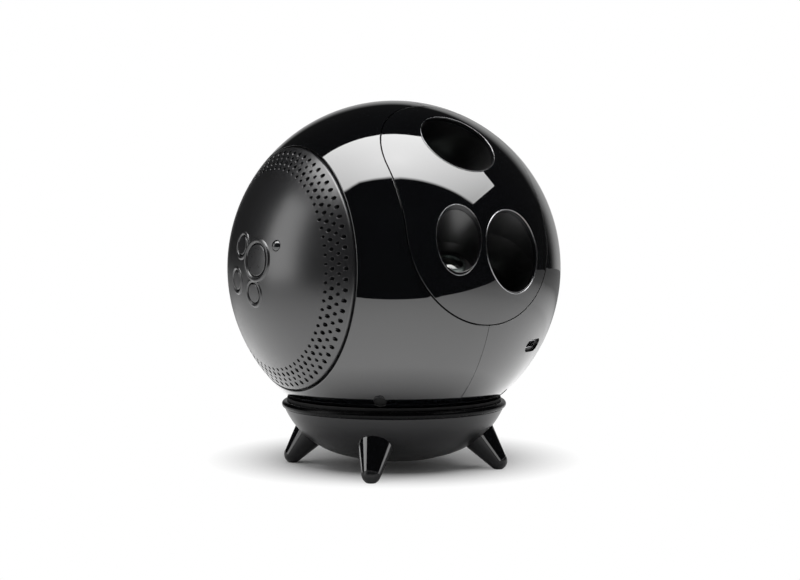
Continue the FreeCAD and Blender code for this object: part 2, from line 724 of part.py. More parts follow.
def lens_carrier():
    """The plate behind the panel that holds the three barrels and the motor."""
    plate = post(CARRIER_RADIUS, front_place(0, 0, CARRIER_BACK), front_place(0, 0, CARRIER_FRONT))
    plate = plate.cut(box((-FAR, -FAR, -FAR), (-CARRIER_LEFT, FAR, FAR)))
    motor_posts = [post(MOTOR_POST_RADIUS, V(ear.x, -MOTOR_FACE - MOTOR_EAR_WALL, ear.z),
                        V(ear.x, -CARRIER_BACK - RUN_GAP, ear.z)) for ear in EAR_PLACES]
    plate = fuse(plate, sleeve(MIDDLE, 0), sleeve(RIGHT, 0), *motor_posts)
    bores = [put(tube(0, well.barrel + RUN_GAP, -well.barrel_end - OVERRUN, 0), well.place)
             for well in (TOP, MIDDLE, RIGHT)]
    bores += [screw_hole(*one) for one in PANEL_SCREWS]
    return plate.cut(bores)


def standoffs():
    bars = []
    for side in (-STANDOFF_SIDE, STANDOFF_SIDE):
        for height in (-STANDOFF_RISE, STANDOFF_RISE):
            bars.append(post(STANDOFF_RADIUS, V(side, 0, height), front_place(side, height, CARRIER_BACK)))
    return Part.makeCompound(bars)


# Chassis plate
def board_posts():
    places = []
    for side in (-1, 1):
        for end in (-1, 1):
            x = MAIN_BOARD_SIDE + side * (MAIN_BOARD_WIDTH / 2 - BOARD_POST_INSET)
            z = MAIN_BOARD_MIDDLE + end * (MAIN_BOARD_HEIGHT / 2 - BOARD_POST_INSET)
            places.append(V(x, 0, z))
    return places


def chassis_plate():
    """The round plate across the ball, its edge in the shells' ribs."""
    plate = post(CHASSIS_RADIUS, ZERO, V(0, CHASSIS_WALL, 0))
    window = SPEAKER_WINDOW_HALF
    plate = plate.cut([box((-FAR, -FAR, -FAR), (-CHASSIS_LEFT, FAR, FAR)),
                       box((-FAR, -FAR, -window), (-SPEAKER_WINDOW_SIDE, FAR, window))])
    pieces = []
    for place in board_posts():
        pieces.append(post(STANDOFF_RADIUS, place, place + V(0, CHASSIS_WALL + BOARD_STANDOFF, 0)))
    for way in SCREW_WAYS:
        middle = way * ((LUG_TOP + LUG_BOTTOM) / 2)
        half = LUG_RADIUS * 3 / 4
        pieces.append(post(LUG_RADIUS, way * LUG_TOP, way * LUG_BOTTOM))
        pieces.append(box((middle.x - half, middle.y, way.z * LUG_TOP - half),
                          (middle.x + half, CHASSIS_WALL / 2, way.z * LUG_TOP + half)))
    plate = fuse(plate, *pieces)
    return plate.cut([post(SHELL_SCREW_RADIUS + RUN_GAP, way * (LUG_TOP - LUG_RADIUS), way * FAR)
                      for way in SCREW_WAYS])


# Loudspeaker cap
def cap_holes():
    """Four rows of sound holes, each row staggered by half a step, drilled along the cap's axis."""
    step = 2 * HALF_TURN / HOLES_IN_ROW
    drills = []
    for ring, radius, shift in HOLE_ROWS:
        for number in range(HOLES_IN_ROW):
            angle = (number + shift) * step
            drills.append(post(radius, cap_place(ring, angle, HOLE_START), cap_place(ring, angle, FAR)))
    return drills


def grille_cap():
    """The satin dome with its rounded edge, skirt, posts, raised rings and sound holes."""
    inner = BALL_RADIUS - CAP_WALL
    disc = put(tube(0, CAP_RADIUS, 0, FAR), CAP_PLACE)
    skirt = put(tube(CAP_RADIUS - CAP_SKIRT_WALL, CAP_RADIUS, FLANGE_FACE + FIT_GAP, FAR), CAP_PLACE)
    dome = fuse(layer(BALL_RADIUS, inner).common(disc), skirt.common(sphere(BALL_RADIUS)))
    dome = dome.makeFillet(CAP_EDGE, rim_edges(dome, BALL_RADIUS, ZERO, LEFT_WAY, CAP_RADIUS, CAP_RADIUS))
    pieces = []
    for angle in QUARTERS:
        for ring, radius, foot in ((CAP_POST_RING, CAP_POST_RADIUS, FLANGE_FACE - FLANGE_DEPTH),
                                   (BOARD_POST_RING, BOARD_POST_RADIUS, BUTTON_BOARD_FACE)):
            top = across(inner + CAP_WALL / 2, ring + radius)
            pieces.append(post(radius, cap_place(ring, angle, foot), cap_place(ring, angle, top)))
    openings = []
    for front, up, radius, ring, wall in BUTTONS.values():
        place = look(ZERO, button_way(front, up))
        height = across(BALL_RADIUS, ring) - RING_SINK
        pieces.append(put(Part.makeTorus(ring, wall, V(0, 0, height)), place))
        openings.append(put(tube(0, radius + BUTTON_GAP, LUG_TOP, FAR), place))
    indicator = tube(0, INDICATOR_RADIUS + RUN_GAP, LUG_TOP, FAR)
    openings.append(put(indicator, look(ZERO, button_way(INDICATOR_OFFSET, 0))))
    cap = fuse(dome, *pieces)
    cap = cap.cut(openings + [screw_hole(*one) for one in CAP_SCREWS + BOARD_SCREWS])
    return cap.cut(cap_holes())


def dust_mesh():
    outer = BALL_RADIUS - CAP_WALL - FIT_GAP
    band = put(tube(MESH_INNER_RADIUS, CAP_RADIUS - CAP_SKIRT_WALL - FIT_GAP, 0, FAR), CAP_PLACE)
    return layer(outer, outer - MESH_WALL).common(band)


# Push buttons
def button(name):
    """A round key with a flange behind the cap and a stem that works its switch."""
    front, up, radius, ring, wall = BUTTONS[name]
    flange = radius + BUTTON_FLANGE_REACH
    step = BUTTON_BOTTOM + BUTTON_FLANGE_WALL
    key = lathe((0, BUTTON_STEM_TIP), (BUTTON_STEM_RADIUS, BUTTON_STEM_TIP),
                (BUTTON_STEM_RADIUS, BUTTON_BOTTOM), (flange, BUTTON_BOTTOM), (flange, step),
                (radius, step), (radius, FAR), (0, FAR))
    top = BALL_RADIUS + BUTTON_PROUD
    key = key.common(sphere(top, SLANT_WAY))
    key = key.makeFillet(BUTTON_EDGE, rim_edges(key, top, ZERO, Z_WAY, radius, radius))
    return put(key, look(ZERO, button_way(front, up)))


def indicator_dome():
    low = INDICATOR_BOTTOM
    bar = tube(0, INDICATOR_RADIUS, low, INDICATOR_RISE)
    dome = Part.makeSphere(INDICATOR_RADIUS, V(0, 0, INDICATOR_RISE))
    return put(bar.fuse(dome).removeSplitter(), look(ZERO, button_way(INDICATOR_OFFSET, 0)))


def button_board():
    disc = put(tube(0, BUTTON_BOARD_RADIUS, BUTTON_BOARD_FACE - BOARD_WALL, BUTTON_BOARD_FACE), CAP_PLACE)
    return disc.cut([screw_hole(*one) for one in BOARD_SCREWS])


def switch_bodies():
    """Four square switches on the board, each with a pocket for a button's stem."""
    bodies = []
    top = BUTTON_BOARD_FACE + SWITCH_HEIGHT
    for front, up, radius, ring, wall in BUTTONS.values():
        way = button_way(front, up)
        y = -way.y / way.x * top
        z = -way.z / way.x * top
        half = SWITCH_SIDE / 2
        body = box((-top, y - half, z - half), (-BUTTON_BOARD_FACE, y + half, z + half))
        bodies.append(body.cut(post(SWITCH_POCKET_RADIUS, V(SWITCH_POCKET_DEPTH - top, y, z), V(-FAR, y, z))))
    return Part.makeCompound(bodies)


# Loudspeaker
BAFFLE_FRONT = FLANGE_FACE - FLANGE_DEPTH
BAFFLE_BACK = BAFFLE_FRONT - BAFFLE_WALL
BASKET_BACK = BAFFLE_BACK - SPEAKER_DEPTH


def speaker_baffle():
    disc = put(tube(SPEAKER_MOUTH, BAFFLE_RADIUS, BAFFLE_BACK, BAFFLE_FRONT), CAP_PLACE)
    return disc.cut([screw_hole(*one) for one in CAP_SCREWS])


def speaker_basket():
    step = BAFFLE_BACK - CONE_WALL
    rim_back = BAFFLE_BACK - SPEAKER_RIM_WALL
    sheet = SPEAKER_SHEET
    mouth = SPEAKER_MOUTH
    neck = CONE_NECK + COIL_GAP + RUN_GAP
    solid = lathe((mouth - sheet, step), (mouth + sheet / 2, step), (mouth + sheet / 2, BAFFLE_BACK),
                  (SPEAKER_RIM, BAFFLE_BACK), (SPEAKER_RIM, rim_back), (mouth + sheet, rim_back),
                  (SPEAKER_NECK + sheet, BASKET_BACK), (neck, BASKET_BACK), (neck, BASKET_BACK + sheet),
                  (SPEAKER_NECK, BASKET_BACK + sheet), (mouth - sheet, rim_back))
    return put(solid, CAP_PLACE)


def speaker_magnet():
    disc = tube(0, MAGNET_RADIUS, BASKET_BACK - MAGNET_DEPTH, BASKET_BACK)
    pole = tube(0, CONE_NECK - FIT_GAP, BASKET_BACK, BASKET_BACK + 2 * SPEAKER_SHEET)
    return put(disc.fuse(pole).removeSplitter(), CAP_PLACE)


def speaker_cone():
    """The paper cone with its roll, coil tube and dust cap, in one turned sheet."""
    foot = BASKET_BACK + CONE_WALL
    neck = CONE_NECK + CONE_WALL
    shoulder = BASKET_BACK + 2 * SPEAKER_SHEET + CONE_WALL
    edge = BAFFLE_BACK - CONE_WALL
    roll = CONE_RADIUS - 2 * CONE_ROLL
    solid = lathe((CONE_NECK, foot), (neck, foot), (neck, shoulder), (roll, edge),
                  ((CONE_RADIUS - CONE_ROLL, edge + CONE_ROLL), (CONE_RADIUS, edge)), (SPEAKER_MOUTH, edge),
                  (SPEAKER_MOUTH, BAFFLE_BACK), (CONE_RADIUS + CONE_WALL / 2, BAFFLE_BACK),
                  ((CONE_RADIUS - CONE_ROLL, BAFFLE_BACK + CONE_ROLL + CONE_WALL / 2),
                   (roll - CONE_WALL / 2, BAFFLE_BACK)),
                  (neck, shoulder + 2 * CONE_WALL), (0, shoulder + CONE_ROLL + 2 * CONE_WALL),
                  (0, shoulder + CONE_ROLL), (CONE_NECK, shoulder))
    return put(solid, CAP_PLACE)


# Nebula lamp
def gear_blank(pitch, teeth, phase):
    """A flat gear outline with plain straight-sided teeth; its first tooth points at the phase angle."""
    high = pitch + GEAR_MODULE * TOOTH_HIGH_SHARE
    low = pitch - GEAR_MODULE * TOOTH_LOW_SHARE
    step = 2 * HALF_TURN / teeth
    corners = []
    for number in range(teeth):
        middle = phase + number * step
        for radius, share in ((low, -TOOTH_ROOT_SHARE), (high, -TOOTH_TIP_SHARE), (high, TOOTH_TIP_SHARE),
                              (low, TOOTH_ROOT_SHARE)):
            angle = middle + share * step
            corners.append(V(radius * cos(angle), radius * sin(angle), 0))
    return Part.Face(Part.Wire(outline(corners)))


def mesh_angle():
    """The angle, in the gears' own frames, from the ring gear's middle to the motor's."""
    towards = TOP_AXIS.inverse().multVec(MOTOR_MIDDLE)
    return math.degrees(math.atan2(towards.y, towards.x))


def ripple_gear():
    """The ring gear that runs on the top barrel, with a cup behind it for the rippled glass."""
    blank = gear_blank(GEAR_PITCH, GEAR_TEETH, mesh_angle())
    blank.translate(V(0, 0, GEAR_BACK))
    solid = blank.extrude(V(0, 0, GEAR_WIDTH))
    cup_back = GEAR_BACK - GEAR_CUP_DEPTH
    solid = fuse(solid, tube(0, GEAR_CUP_RADIUS, cup_back, GEAR_BACK))
    seat = cup_back + RIPPLE_WALL
    solid = solid.cut([tube(0, TOP_BARREL_RADIUS + RUN_GAP, cup_back, FAR),
                       tube(0, CLIP_RADIUS + MOVE_GAP, cup_back, GEAR_BACK),
                       tube(0, RIPPLE_RADIUS + RUN_GAP, cup_back, seat)])
    return put(solid, TOP_AXIS)


def ripple_disc():
    low = GEAR_BACK - GEAR_CUP_DEPTH
    return put(tube(0, RIPPLE_RADIUS, low, low + RIPPLE_WALL), TOP_AXIS)


def clip_ring(inner, gap):
    top = GEAR_BACK - MOVE_GAP
    return tube(inner - gap, CLIP_RADIUS, top - CLIP_WALL - gap, top + gap)


def gear_clip():
    return put(clip_ring(TOP_BARREL_RADIUS - CLIP_BITE, 0), TOP_AXIS)


def pinion():
    """The motor's pinion with its shaft, half a tooth turned so that it meshes."""
    half_tooth = HALF_TURN / PINION_TEETH
    blank = gear_blank(PINION_PITCH, PINION_TEETH, mesh_angle() + HALF_TURN + half_tooth)
    blank.translate(V(0, 0, GEAR_BACK))
    shaft = tube(0, SHAFT_RADIUS, MOTOR_FACE - SHAFT_BITE, GEAR_BACK)
    return put(fuse(blank.extrude(V(0, 0, GEAR_WIDTH)), shaft), MOTOR_AXIS)


def motor():
    front = MOTOR_FACE + MOTOR_EAR_WALL
    can = put(tube(0, MOTOR_RADIUS, MOTOR_FACE - MOTOR_LENGTH, front), MOTOR_AXIS)
    bush = put(tube(0, MOTOR_BUSH_RADIUS, MOTOR_FACE, front + MOTOR_BUSH_LENGTH), MOTOR_AXIS)
    ears = slot_prism(2 * (MOTOR_EAR_SPAN + MOTOR_EAR_RADIUS), 2 * MOTOR_EAR_RADIUS, MOTOR_FACE, front)
    ears = put(ears, FreeCAD.Placement(MOTOR_MIDDLE, FreeCAD.Rotation(EAR_WAY, ZERO, FRONT_WAY, "ZXY")))
    bore = tube(0, SHAFT_RADIUS + RUN_GAP, MOTOR_FACE - SHAFT_BITE - FIT_GAP, FAR)
    return fuse(can, bush, ears).cut(put(bore, MOTOR_AXIS))


def light_board(radius, face):
    """A round board with one domed light in its middle, facing +Z."""
    board = tube(0, radius, face - BOARD_WALL, face)
    light = Part.makeSphere(LIGHT_RADIUS, V(0, 0, face))
    return fuse(board, light.common(tube(0, radius, face - FIT_GAP, FAR)))


def finned_sink(radius, top, bottom):
    """A round base with straight fins down to the bottom."""
    base = tube(0, radius, top - HEAT_SINK_BASE, top)
    round_bar = tube(0, radius, bottom, top)
    pitch = (2 * radius - FIN_WALL) / (FIN_COUNT - 1)
    fins = []
    for number in range(FIN_COUNT):
        middle = (number - (FIN_COUNT - 1) / 2) * pitch
        fin = box((middle - FIN_WALL / 2, -radius, bottom), (middle + FIN_WALL / 2, radius, top))
        fins.append(fin.common(round_bar))
    return fuse(base, *[fin for fin in fins if fin.Solids])


def nebula_lamp():
    return put(light_board(NEBULA_BOARD_RADIUS, NEBULA_BOARD_FACE), TOP_AXIS)


def nebula_heat_sink():
    return put(finned_sink(HEAT_SINK_RADIUS, NEBULA_BOARD_FACE - BOARD_WALL, 0), TOP_AXIS)


# Star lamp
def star_grating():
    stop = MIDDLE_WELL_DEPTH + LENS_EDGE + LENS_SHOULDER
    return put(tube(0, LASER_RADIUS, -stop - GRATING_WALL, -stop), MIDDLE.place)


def laser_module():
    low = -LASER_START - LASER_LENGTH
    barrel = fuse(tube(0, LASER_RADIUS, low, -LASER_START), tube(0, LASER_TAIL_RADIUS, low - LASER_TAIL, low))
    return put(barrel.cut(tube(0, LASER_EYE_RADIUS, -LASER_START - LASER_EYE_DEPTH, 0)), MIDDLE.place)


# Slide lamp
def slide_disc():
    return put(tube(0, SLIDE_RADIUS, -SLIDE_DEPTH - SLIDE_WALL, -SLIDE_DEPTH), RIGHT.place)


def slide_lamp():
    return put(light_board(RIGHT_BARREL_RADIUS, -RIGHT_BARREL_END), RIGHT.place)


def slide_heat_sink():
    top = -RIGHT_BARREL_END - BOARD_WALL
    return put(finned_sink(SLIDE_SINK_RADIUS, top, top - SLIDE_SINK_LENGTH), RIGHT.place)


# Main board and battery
def main_board():
    front = CHASSIS_WALL + BOARD_STANDOFF
    half = MAIN_BOARD_HEIGHT / 2
    return box((MAIN_BOARD_SIDE - MAIN_BOARD_WIDTH / 2, front, MAIN_BOARD_MIDDLE - half),
               (MAIN_BOARD_SIDE + MAIN_BOARD_WIDTH / 2, front + BOARD_WALL, MAIN_BOARD_MIDDLE + half))


def board_parts():
    back = CHASSIS_WALL + BOARD_STANDOFF + BOARD_WALL
    chips = []
    for x, z, wide, tall, thick in CHIPS:
        chips.append(box((x - wide / 2, back, z - tall / 2), (x + wide / 2, back + thick, z + tall / 2)))
    return Part.makeCompound(chips)


def battery_cell():
    middle = V(0, CELL_BACK, -CELL_DROP)
    half = X_WAY * (CELL_LENGTH / 2)
    cell = post(CELL_RADIUS, middle - half, middle + half)
    return fuse(cell, post(CELL_CAP_RADIUS, middle + half, middle + half + X_WAY * CELL_CAP_WALL))


def battery_cradle():
    tall = CELL_RADIUS + CRADLE_GAP + CRADLE_WALL
    block = box((-CRADLE_HALF_LENGTH, CHASSIS_WALL, -CELL_DROP - tall),
                (CRADLE_HALF_LENGTH, CRADLE_DEPTH, -CELL_DROP + tall))
    middle = V(0, CELL_BACK, -CELL_DROP)
    return block.cut(post(CELL_RADIUS + CRADLE_GAP, middle - X_WAY * FAR, middle + X_WAY * FAR))


# Charging socket
def usb_socket():
    top = BALL_RADIUS - PORT_RECESS_DEPTH - FIT_GAP
    low = top - SOCKET_LENGTH
    shell = slot_prism(SOCKET_WIDTH, SOCKET_HEIGHT, low, top)
    hollow = slot_prism(SOCKET_WIDTH - 2 * SOCKET_SHEET, SOCKET_HEIGHT - 2 * SOCKET_SHEET,
                        low + SOCKET_SHEET, FAR)
    tongue = box((-TONGUE_WIDTH / 2, -TONGUE_WALL / 2, low),
                 (TONGUE_WIDTH / 2, TONGUE_WALL / 2, low + TONGUE_LENGTH))
    return put(fuse(shell.cut(hollow), tongue), port_place())


def usb_board():
    face = -SOCKET_HEIGHT / 2
    top = BALL_RADIUS - SHELL_WALL - PORT_BOARD_WALL
    board = box((-PORT_BOARD_WIDTH / 2, face - PORT_BOARD_WALL, top - PORT_BOARD_LENGTH),
                (PORT_BOARD_WIDTH / 2, face, top))
    return put(board, port_place())


# Shell screws and plugs
def shell_screws():
    screws = []
    for way in SCREW_WAYS:
        head = post(PLUG_RADIUS, way * SHELL_SCREW_SEAT, way * (SHELL_SCREW_SEAT + SHELL_SCREW_HEAD))
        shank = post(SHELL_SCREW_RADIUS, way * (SHELL_SCREW_SEAT - SHELL_SCREW_LENGTH), way * SHELL_SCREW_SEAT)
        screws.append(head.fuse(shank).removeSplitter())
    return Part.makeCompound(screws)


def screw_plugs():
    top = BALL_RADIUS - PLUG_SINK
    return Part.makeCompound([post(PLUG_RADIUS, way * (top - PLUG_WALL), way * top) for way in SCREW_WAYS])


# Stand
def bowl_outline(share, lift):
    """The bowl's outside, or its inside when shrunk by a share and lifted off the bottom."""
    rise = STAND_RIM_HEIGHT - BOWL_BOTTOM
    def point(radius, height):
        return (radius * share, height + lift * (STAND_RIM_HEIGHT - height) / rise)
    mid, low, foot = [point(*place) for place in BOWL_SHOULDER]
    rim = point(STAND_RADIUS, STAND_RIM_HEIGHT)
    flat = point(BOWL_FLAT_RADIUS, BOWL_BOTTOM)
    return lathe((0, flat[1]), (0, rim[1]), rim, (mid, low), (foot, flat))


def leg_frame(turn):
    """A leg's frame: its tip's middle at zero, +Z up along the leg and +X outwards."""
    out = V(sin(turn), -cos(turn), 0)
    way = out * -sin(LEG_LEAN) + Z_WAY * cos(LEG_LEAN)
    return FreeCAD.Placement(out * LEG_REACH + V(0, 0, LEG_TIP_HEIGHT), FreeCAD.Rotation(out, ZERO, way, "ZXY"))


def leg_blank(inset):
    """Cone and round tip in the leg's frame, all round smaller by an inset."""
    tip = LEG_TIP_RADIUS - inset
    low = tip * sin(LEG_FLARE)
    wide = tip / cos(LEG_FLARE) + LEG_LENGTH * tan(LEG_FLARE)
    cone = Part.makeCone(tip * cos(LEG_FLARE), wide, LEG_LENGTH + low, V(0, 0, -low), Z_WAY)
    return cone.fuse(Part.makeSphere(tip)).removeSplitter()


def inlay_room(gap):
    """The shallow pocket on a leg's outward side, made smaller by a gap."""
    start = INLAY_START + gap
    wedge = Part.makeCylinder(FAR, LEG_LENGTH, V(0, 0, start), Z_WAY, INLAY_SPREAD)
    wedge.rotate(ZERO, Z_WAY, -INLAY_SPREAD / 2)
    wedge.translate(X_WAY * gap)
    return wedge.cut(leg_blank(INLAY_WALL))


def leg(turn):
    """A satin leg, flat where it stands, with a peg that goes through the bowl."""
    frame = leg_frame(turn)
    body = put(leg_blank(0).cut(inlay_room(0)), frame).common(box((-FAR, -FAR, 0), (FAR, FAR, FAR)))
    body = body.cut(bowl_outline(1, 0))
    body = fuse(body, put(tube(0, LEG_PEG_RADIUS, LEG_PEG_IN / 2, LEG_PEG_IN), frame))
    return body.cut(screw_hole(*leg_screw(turn)))


def leg_inlays():
    """The glossy faces let into the legs."""
    inlay = leg_blank(0).common(inlay_room(RUN_GAP))
    return Part.makeCompound([put(inlay, leg_frame(turn)).cut(bowl_outline(1, 0))
                              for turn in LEG_TURNS.values()])


def leg_screw(turn):
    frame = leg_frame(turn)
    way = frame.Rotation.multVec(V(0, 0, -1))
    return frame.multVec(V(0, 0, LEG_PEG_IN)), way, 0


def leg_screws():
    return Part.makeCompound([screw(*leg_screw(turn)) for turn in LEG_TURNS.values()])


def bowl():
    share = (STAND_RADIUS - BOWL_WALL) / STAND_RADIUS
    rim_low = STAND_RIM_HEIGHT - RIM_DEPTH
    solid = bowl_outline(1, 0).cut(bowl_outline(share, BOWL_WALL))
    rim = tube(RIM_BORE, STAND_RADIUS, rim_low, STAND_RIM_HEIGHT)
    ledge = tube(LEDGE_BORE, STAND_RADIUS, rim_low - LEDGE_DEPTH, rim_low)
    peg_top = BOWL_BOTTOM + BOWL_WALL + WEIGHT_LIFT + WEIGHT_WALL - FIT_GAP
    peg = tube(0, WEIGHT_HOLE_RADIUS - FIT_GAP, BOWL_BOTTOM, peg_top)
    solid = fuse(solid, rim.common(bowl_outline(1, 0)), ledge.common(bowl_outline(1, 0)), peg)
    holes = [put(tube(0, LEG_PEG_RADIUS + RUN_GAP, 0, LEG_PEG_IN + FIT_GAP), leg_frame(turn))
             for turn in LEG_TURNS.values()]
    return solid.cut(holes + [tube(0, RIM_BORE, rim_low, FAR)])


def dish_cover():
    """The inner dish, which follows the ball at a distance, with a flat rim on the bowl's ledge."""
    rim_low = STAND_RIM_HEIGHT - RIM_DEPTH
    rim_top = rim_low + DISH_RIM_WALL
    hollow = BALL_RADIUS + DISH_GAP
    dish = layer(hollow + DISH_WALL, hollow, Z_WAY)
    dish.translate(V(0, 0, BALL_HEIGHT))
    dish = dish.common(tube(0, DISH_RIM_INNER + DISH_WALL, 0, rim_top))
    rim = tube(DISH_RIM_INNER, RIM_BORE - FIT_GAP, rim_low, rim_top)
    return fuse(dish, rim)


def stand_weight():
    low = BOWL_BOTTOM + BOWL_WALL + WEIGHT_LIFT
    return tube(WEIGHT_HOLE_RADIUS, WEIGHT_RADIUS, low, low + WEIGHT_WALL)


# Turning ring and pad
def seat_ring():
    low = STAND_RIM_HEIGHT + RING_LIFT
    spigot = RIM_BORE - FIT_GAP
    return lathe((RING_INNER_RADIUS, low - RING_SPIGOT), (spigot, low - RING_SPIGOT), (spigot, low),
                 (STAND_RADIUS, low), (RING_BEAD_MID, (RING_BEAD_RADIUS, RING_BEAD_TOP)),
                 (PAD_RADIUS + RUN_GAP, RING_BEAD_TOP), (PAD_RADIUS + RUN_GAP, PAD_BOTTOM),
                 (RING_INNER_RADIUS, PAD_BOTTOM))


def seat_pad():
    """The soft lip, hollowed to lie just off the ball."""
    solid = tube(PAD_INNER_RADIUS, PAD_RADIUS, PAD_BOTTOM, PAD_TOP)
    hollow = sphere(BALL_RADIUS + MOVE_GAP, Z_WAY)
    hollow.translate(V(0, 0, BALL_HEIGHT))
    return solid.cut(hollow)


# Write every piece
STAND_PIECES = {
    "bowl": bowl,
    "dish_cover": dish_cover,
    "stand_weight": stand_weight,
    "leg_inlays": leg_inlays,
    "leg_screws": leg_screws,
    "seat_ring": seat_ring,
    "seat_pad": seat_pad,
}
BALL_PIECES = {
    "left_shell": left_shell,
    "right_shell": right_shell,
    "lens_panel": lens_panel,
    "top_hood": top_hood,
    "middle_hood": middle_hood,
    "right_hood": right_hood,
    "top_lens": TOP.glass,
    "middle_lens": MIDDLE.glass,
    "right_lens": RIGHT.glass,
    "top_lens_ring": TOP.ring,
    "middle_lens_ring": MIDDLE.ring,
    "right_lens_ring": RIGHT.ring,
    "lens_carrier": lens_carrier,
    "standoffs": standoffs,
    "chassis_plate": chassis_plate,
    "inner_screws": inner_screws,
    "grille_cap": grille_cap,
    "dust_mesh": dust_mesh,
    "button_board": button_board,
    "switch_bodies": switch_bodies,
    "indicator_dome": indicator_dome,
    "speaker_baffle": speaker_baffle,
    "speaker_basket": speaker_basket,
    "speaker_magnet": speaker_magnet,
    "speaker_cone": speaker_cone,
    "ripple_gear": ripple_gear,
    "ripple_disc": ripple_disc,
    "gear_clip": gear_clip,
    "pinion": pinion,
    "motor": motor,
    "nebula_lamp": nebula_lamp,
    "nebula_heat_sink": nebula_heat_sink,
    "star_grating": star_grating,
    "laser_module": laser_module,
    "slide_disc": slide_disc,
    "slide_lamp": slide_lamp,
    "slide_heat_sink": slide_heat_sink,
    "main_board": main_board,
    "board_parts": board_parts,
    "battery_cell": battery_cell,
    "battery_cradle": battery_cradle,
    "usb_socket": usb_socket,
    "usb_board": usb_board,
    "shell_screws": shell_screws,
    "screw_plugs": screw_plugs,
}


def write(name, shape):
    """Write one piece, and print its solids, its volume and whether it is sound."""
    shape.exportStep("parts/" + name + ".step")
    print(name, len(shape.Solids), "solids", round(shape.Volume), "mm3", shape.isValid())


os.makedirs("parts", exist_ok=True)
for name, make in STAND_PIECES.items():
    write(name, make())
for name, turn in LEG_TURNS.items():
    write("leg_" + name, leg(turn))
for name, make in BALL_PIECES.items():
    write(name, put(make(), BALL_PLACE))
for name in BUTTONS:
    write(name, put(button(name), BALL_PLACE))
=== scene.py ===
# %% [markdown]
# # A star projector, dressed and lit
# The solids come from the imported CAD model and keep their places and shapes. This lesson gives each of
# them its finish, then builds the small studio that a glossy black ball needs, because such a ball shows
# little of its own colour: what is seen is mostly the room that it mirrors.

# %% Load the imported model
import json
import math

import bpy
from mathutils import Matrix, Vector


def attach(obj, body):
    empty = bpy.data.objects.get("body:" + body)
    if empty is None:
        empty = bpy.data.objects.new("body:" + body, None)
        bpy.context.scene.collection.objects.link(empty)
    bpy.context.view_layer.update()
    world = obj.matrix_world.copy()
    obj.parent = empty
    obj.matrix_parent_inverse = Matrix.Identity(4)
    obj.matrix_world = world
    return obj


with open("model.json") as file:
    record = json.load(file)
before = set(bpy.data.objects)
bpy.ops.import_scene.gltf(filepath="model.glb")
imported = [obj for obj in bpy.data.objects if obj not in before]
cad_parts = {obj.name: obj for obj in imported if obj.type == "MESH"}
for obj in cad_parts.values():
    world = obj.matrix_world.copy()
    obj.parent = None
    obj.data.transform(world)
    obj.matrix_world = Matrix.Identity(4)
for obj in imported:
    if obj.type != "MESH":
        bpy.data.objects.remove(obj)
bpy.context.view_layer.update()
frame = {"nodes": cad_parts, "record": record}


# %% [markdown]
# ## Colours and sizes
# Blender works with linear light and in metres, and a maker thinks in screen colours and millimetres.
# Two short functions turn one into the other, so that every number below can be read as it was chosen.

# %% Turn hex colours and millimetres into Blender's numbers
def linear(code):
    """Turns an sRGB hex colour into linear red, green, blue and alpha."""
    parts = [int(code[start:start + 2], 16) / 255 for start in (1, 3, 5)]
    lights = [part / 12.92 if part <= 0.04045 else ((part + 0.055) / 1.055) ** 2.4 for part in parts]
    return lights + [1.0]


def repeats(size_mm):
    """Turns the size of a pattern's grain into a texture scale, in repeats a metre."""
    return 1000.0 / size_mm


MM = 0.001
WHITE = (1.0, 1.0, 1.0, 1.0)
print("mid grey:", [round(part, 3) for part in linear("#808080")])

# %% [markdown]
# ## One way to add a node
# Every finish below is a handful of nodes. One function adds a node, fills in its settings, and gives
# each of its sockets a plain value or the output of an earlier node.

# %% A small node helper and a fresh material
def add(tree, kind, sockets=None, **settings):
    """Adds a node; sockets maps a socket to a value or to another node's output."""
    made = tree.nodes.new(kind)
    for field, value in settings.items():
        setattr(made, field, value)
    for socket, value in (sockets or {}).items():
        if isinstance(value, bpy.types.NodeSocket):
            tree.links.new(value, made.inputs[socket])
        else:
            made.inputs[socket].default_value = value
    return made


def fresh(name):
    """Starts an empty material and gives its node tree and its place coordinates."""
    material = bpy.data.materials.new(name)
    material.use_nodes = True
    tree = material.node_tree
    tree.nodes.clear()
    place = add(tree, "ShaderNodeTexCoord").outputs["Object"]
    return material, tree, place


def finish(tree, shader):
    """Joins a shader to the material's output."""
    add(tree, "ShaderNodeOutputMaterial", {"Surface": shader.outputs[0]})


finishes = {}

# %% [markdown]
# ## Gloss shell: polished ABS under a hard clear coat
# The two half shells, the lens panel and the inlays down the legs are injection moulded ABS from a
# polished tool, with a hard clear coat on top. To the eye this is a black mirror with two thin clear
# layers, so its colour hardly counts and its flatness does. A faint swell in the surface, the orange
# peel of a sprayed coat, bends long reflections a little, and a cloudy haze from handling softens them
# in places. Noise gives both, at the sizes that such a coat has. A coat also draws back over every
# sharp edge and leaves it a little round, and that thin round catches a line of light. The bevel node
# rounds the shading there, so the solids keep their faces. The coat is sprayed from outside, so the
# walls of the wells and seams, which lie deeper than the ball's skin, stay bare and matt. The inlays
# lie far outside the ball's skin, so they are coated all over.

# %% Polished ABS with clear coat
ORANGE_PEEL_MM = 5.0
ORANGE_PEEL_DEPTH = 0.002 * MM
HANDLING_HAZE_MM = 14.0
COATED_EDGE_MM = 0.22
BEVEL_SAMPLES = 6
BALL_CENTRE = Vector((0.0, 0.0, 84.0)) * MM
BALL_RADIUS = 70.0 * MM
COAT_REACH = (0.6 * MM, 0.4 * MM)
BARE_ROUGHNESS = 0.4

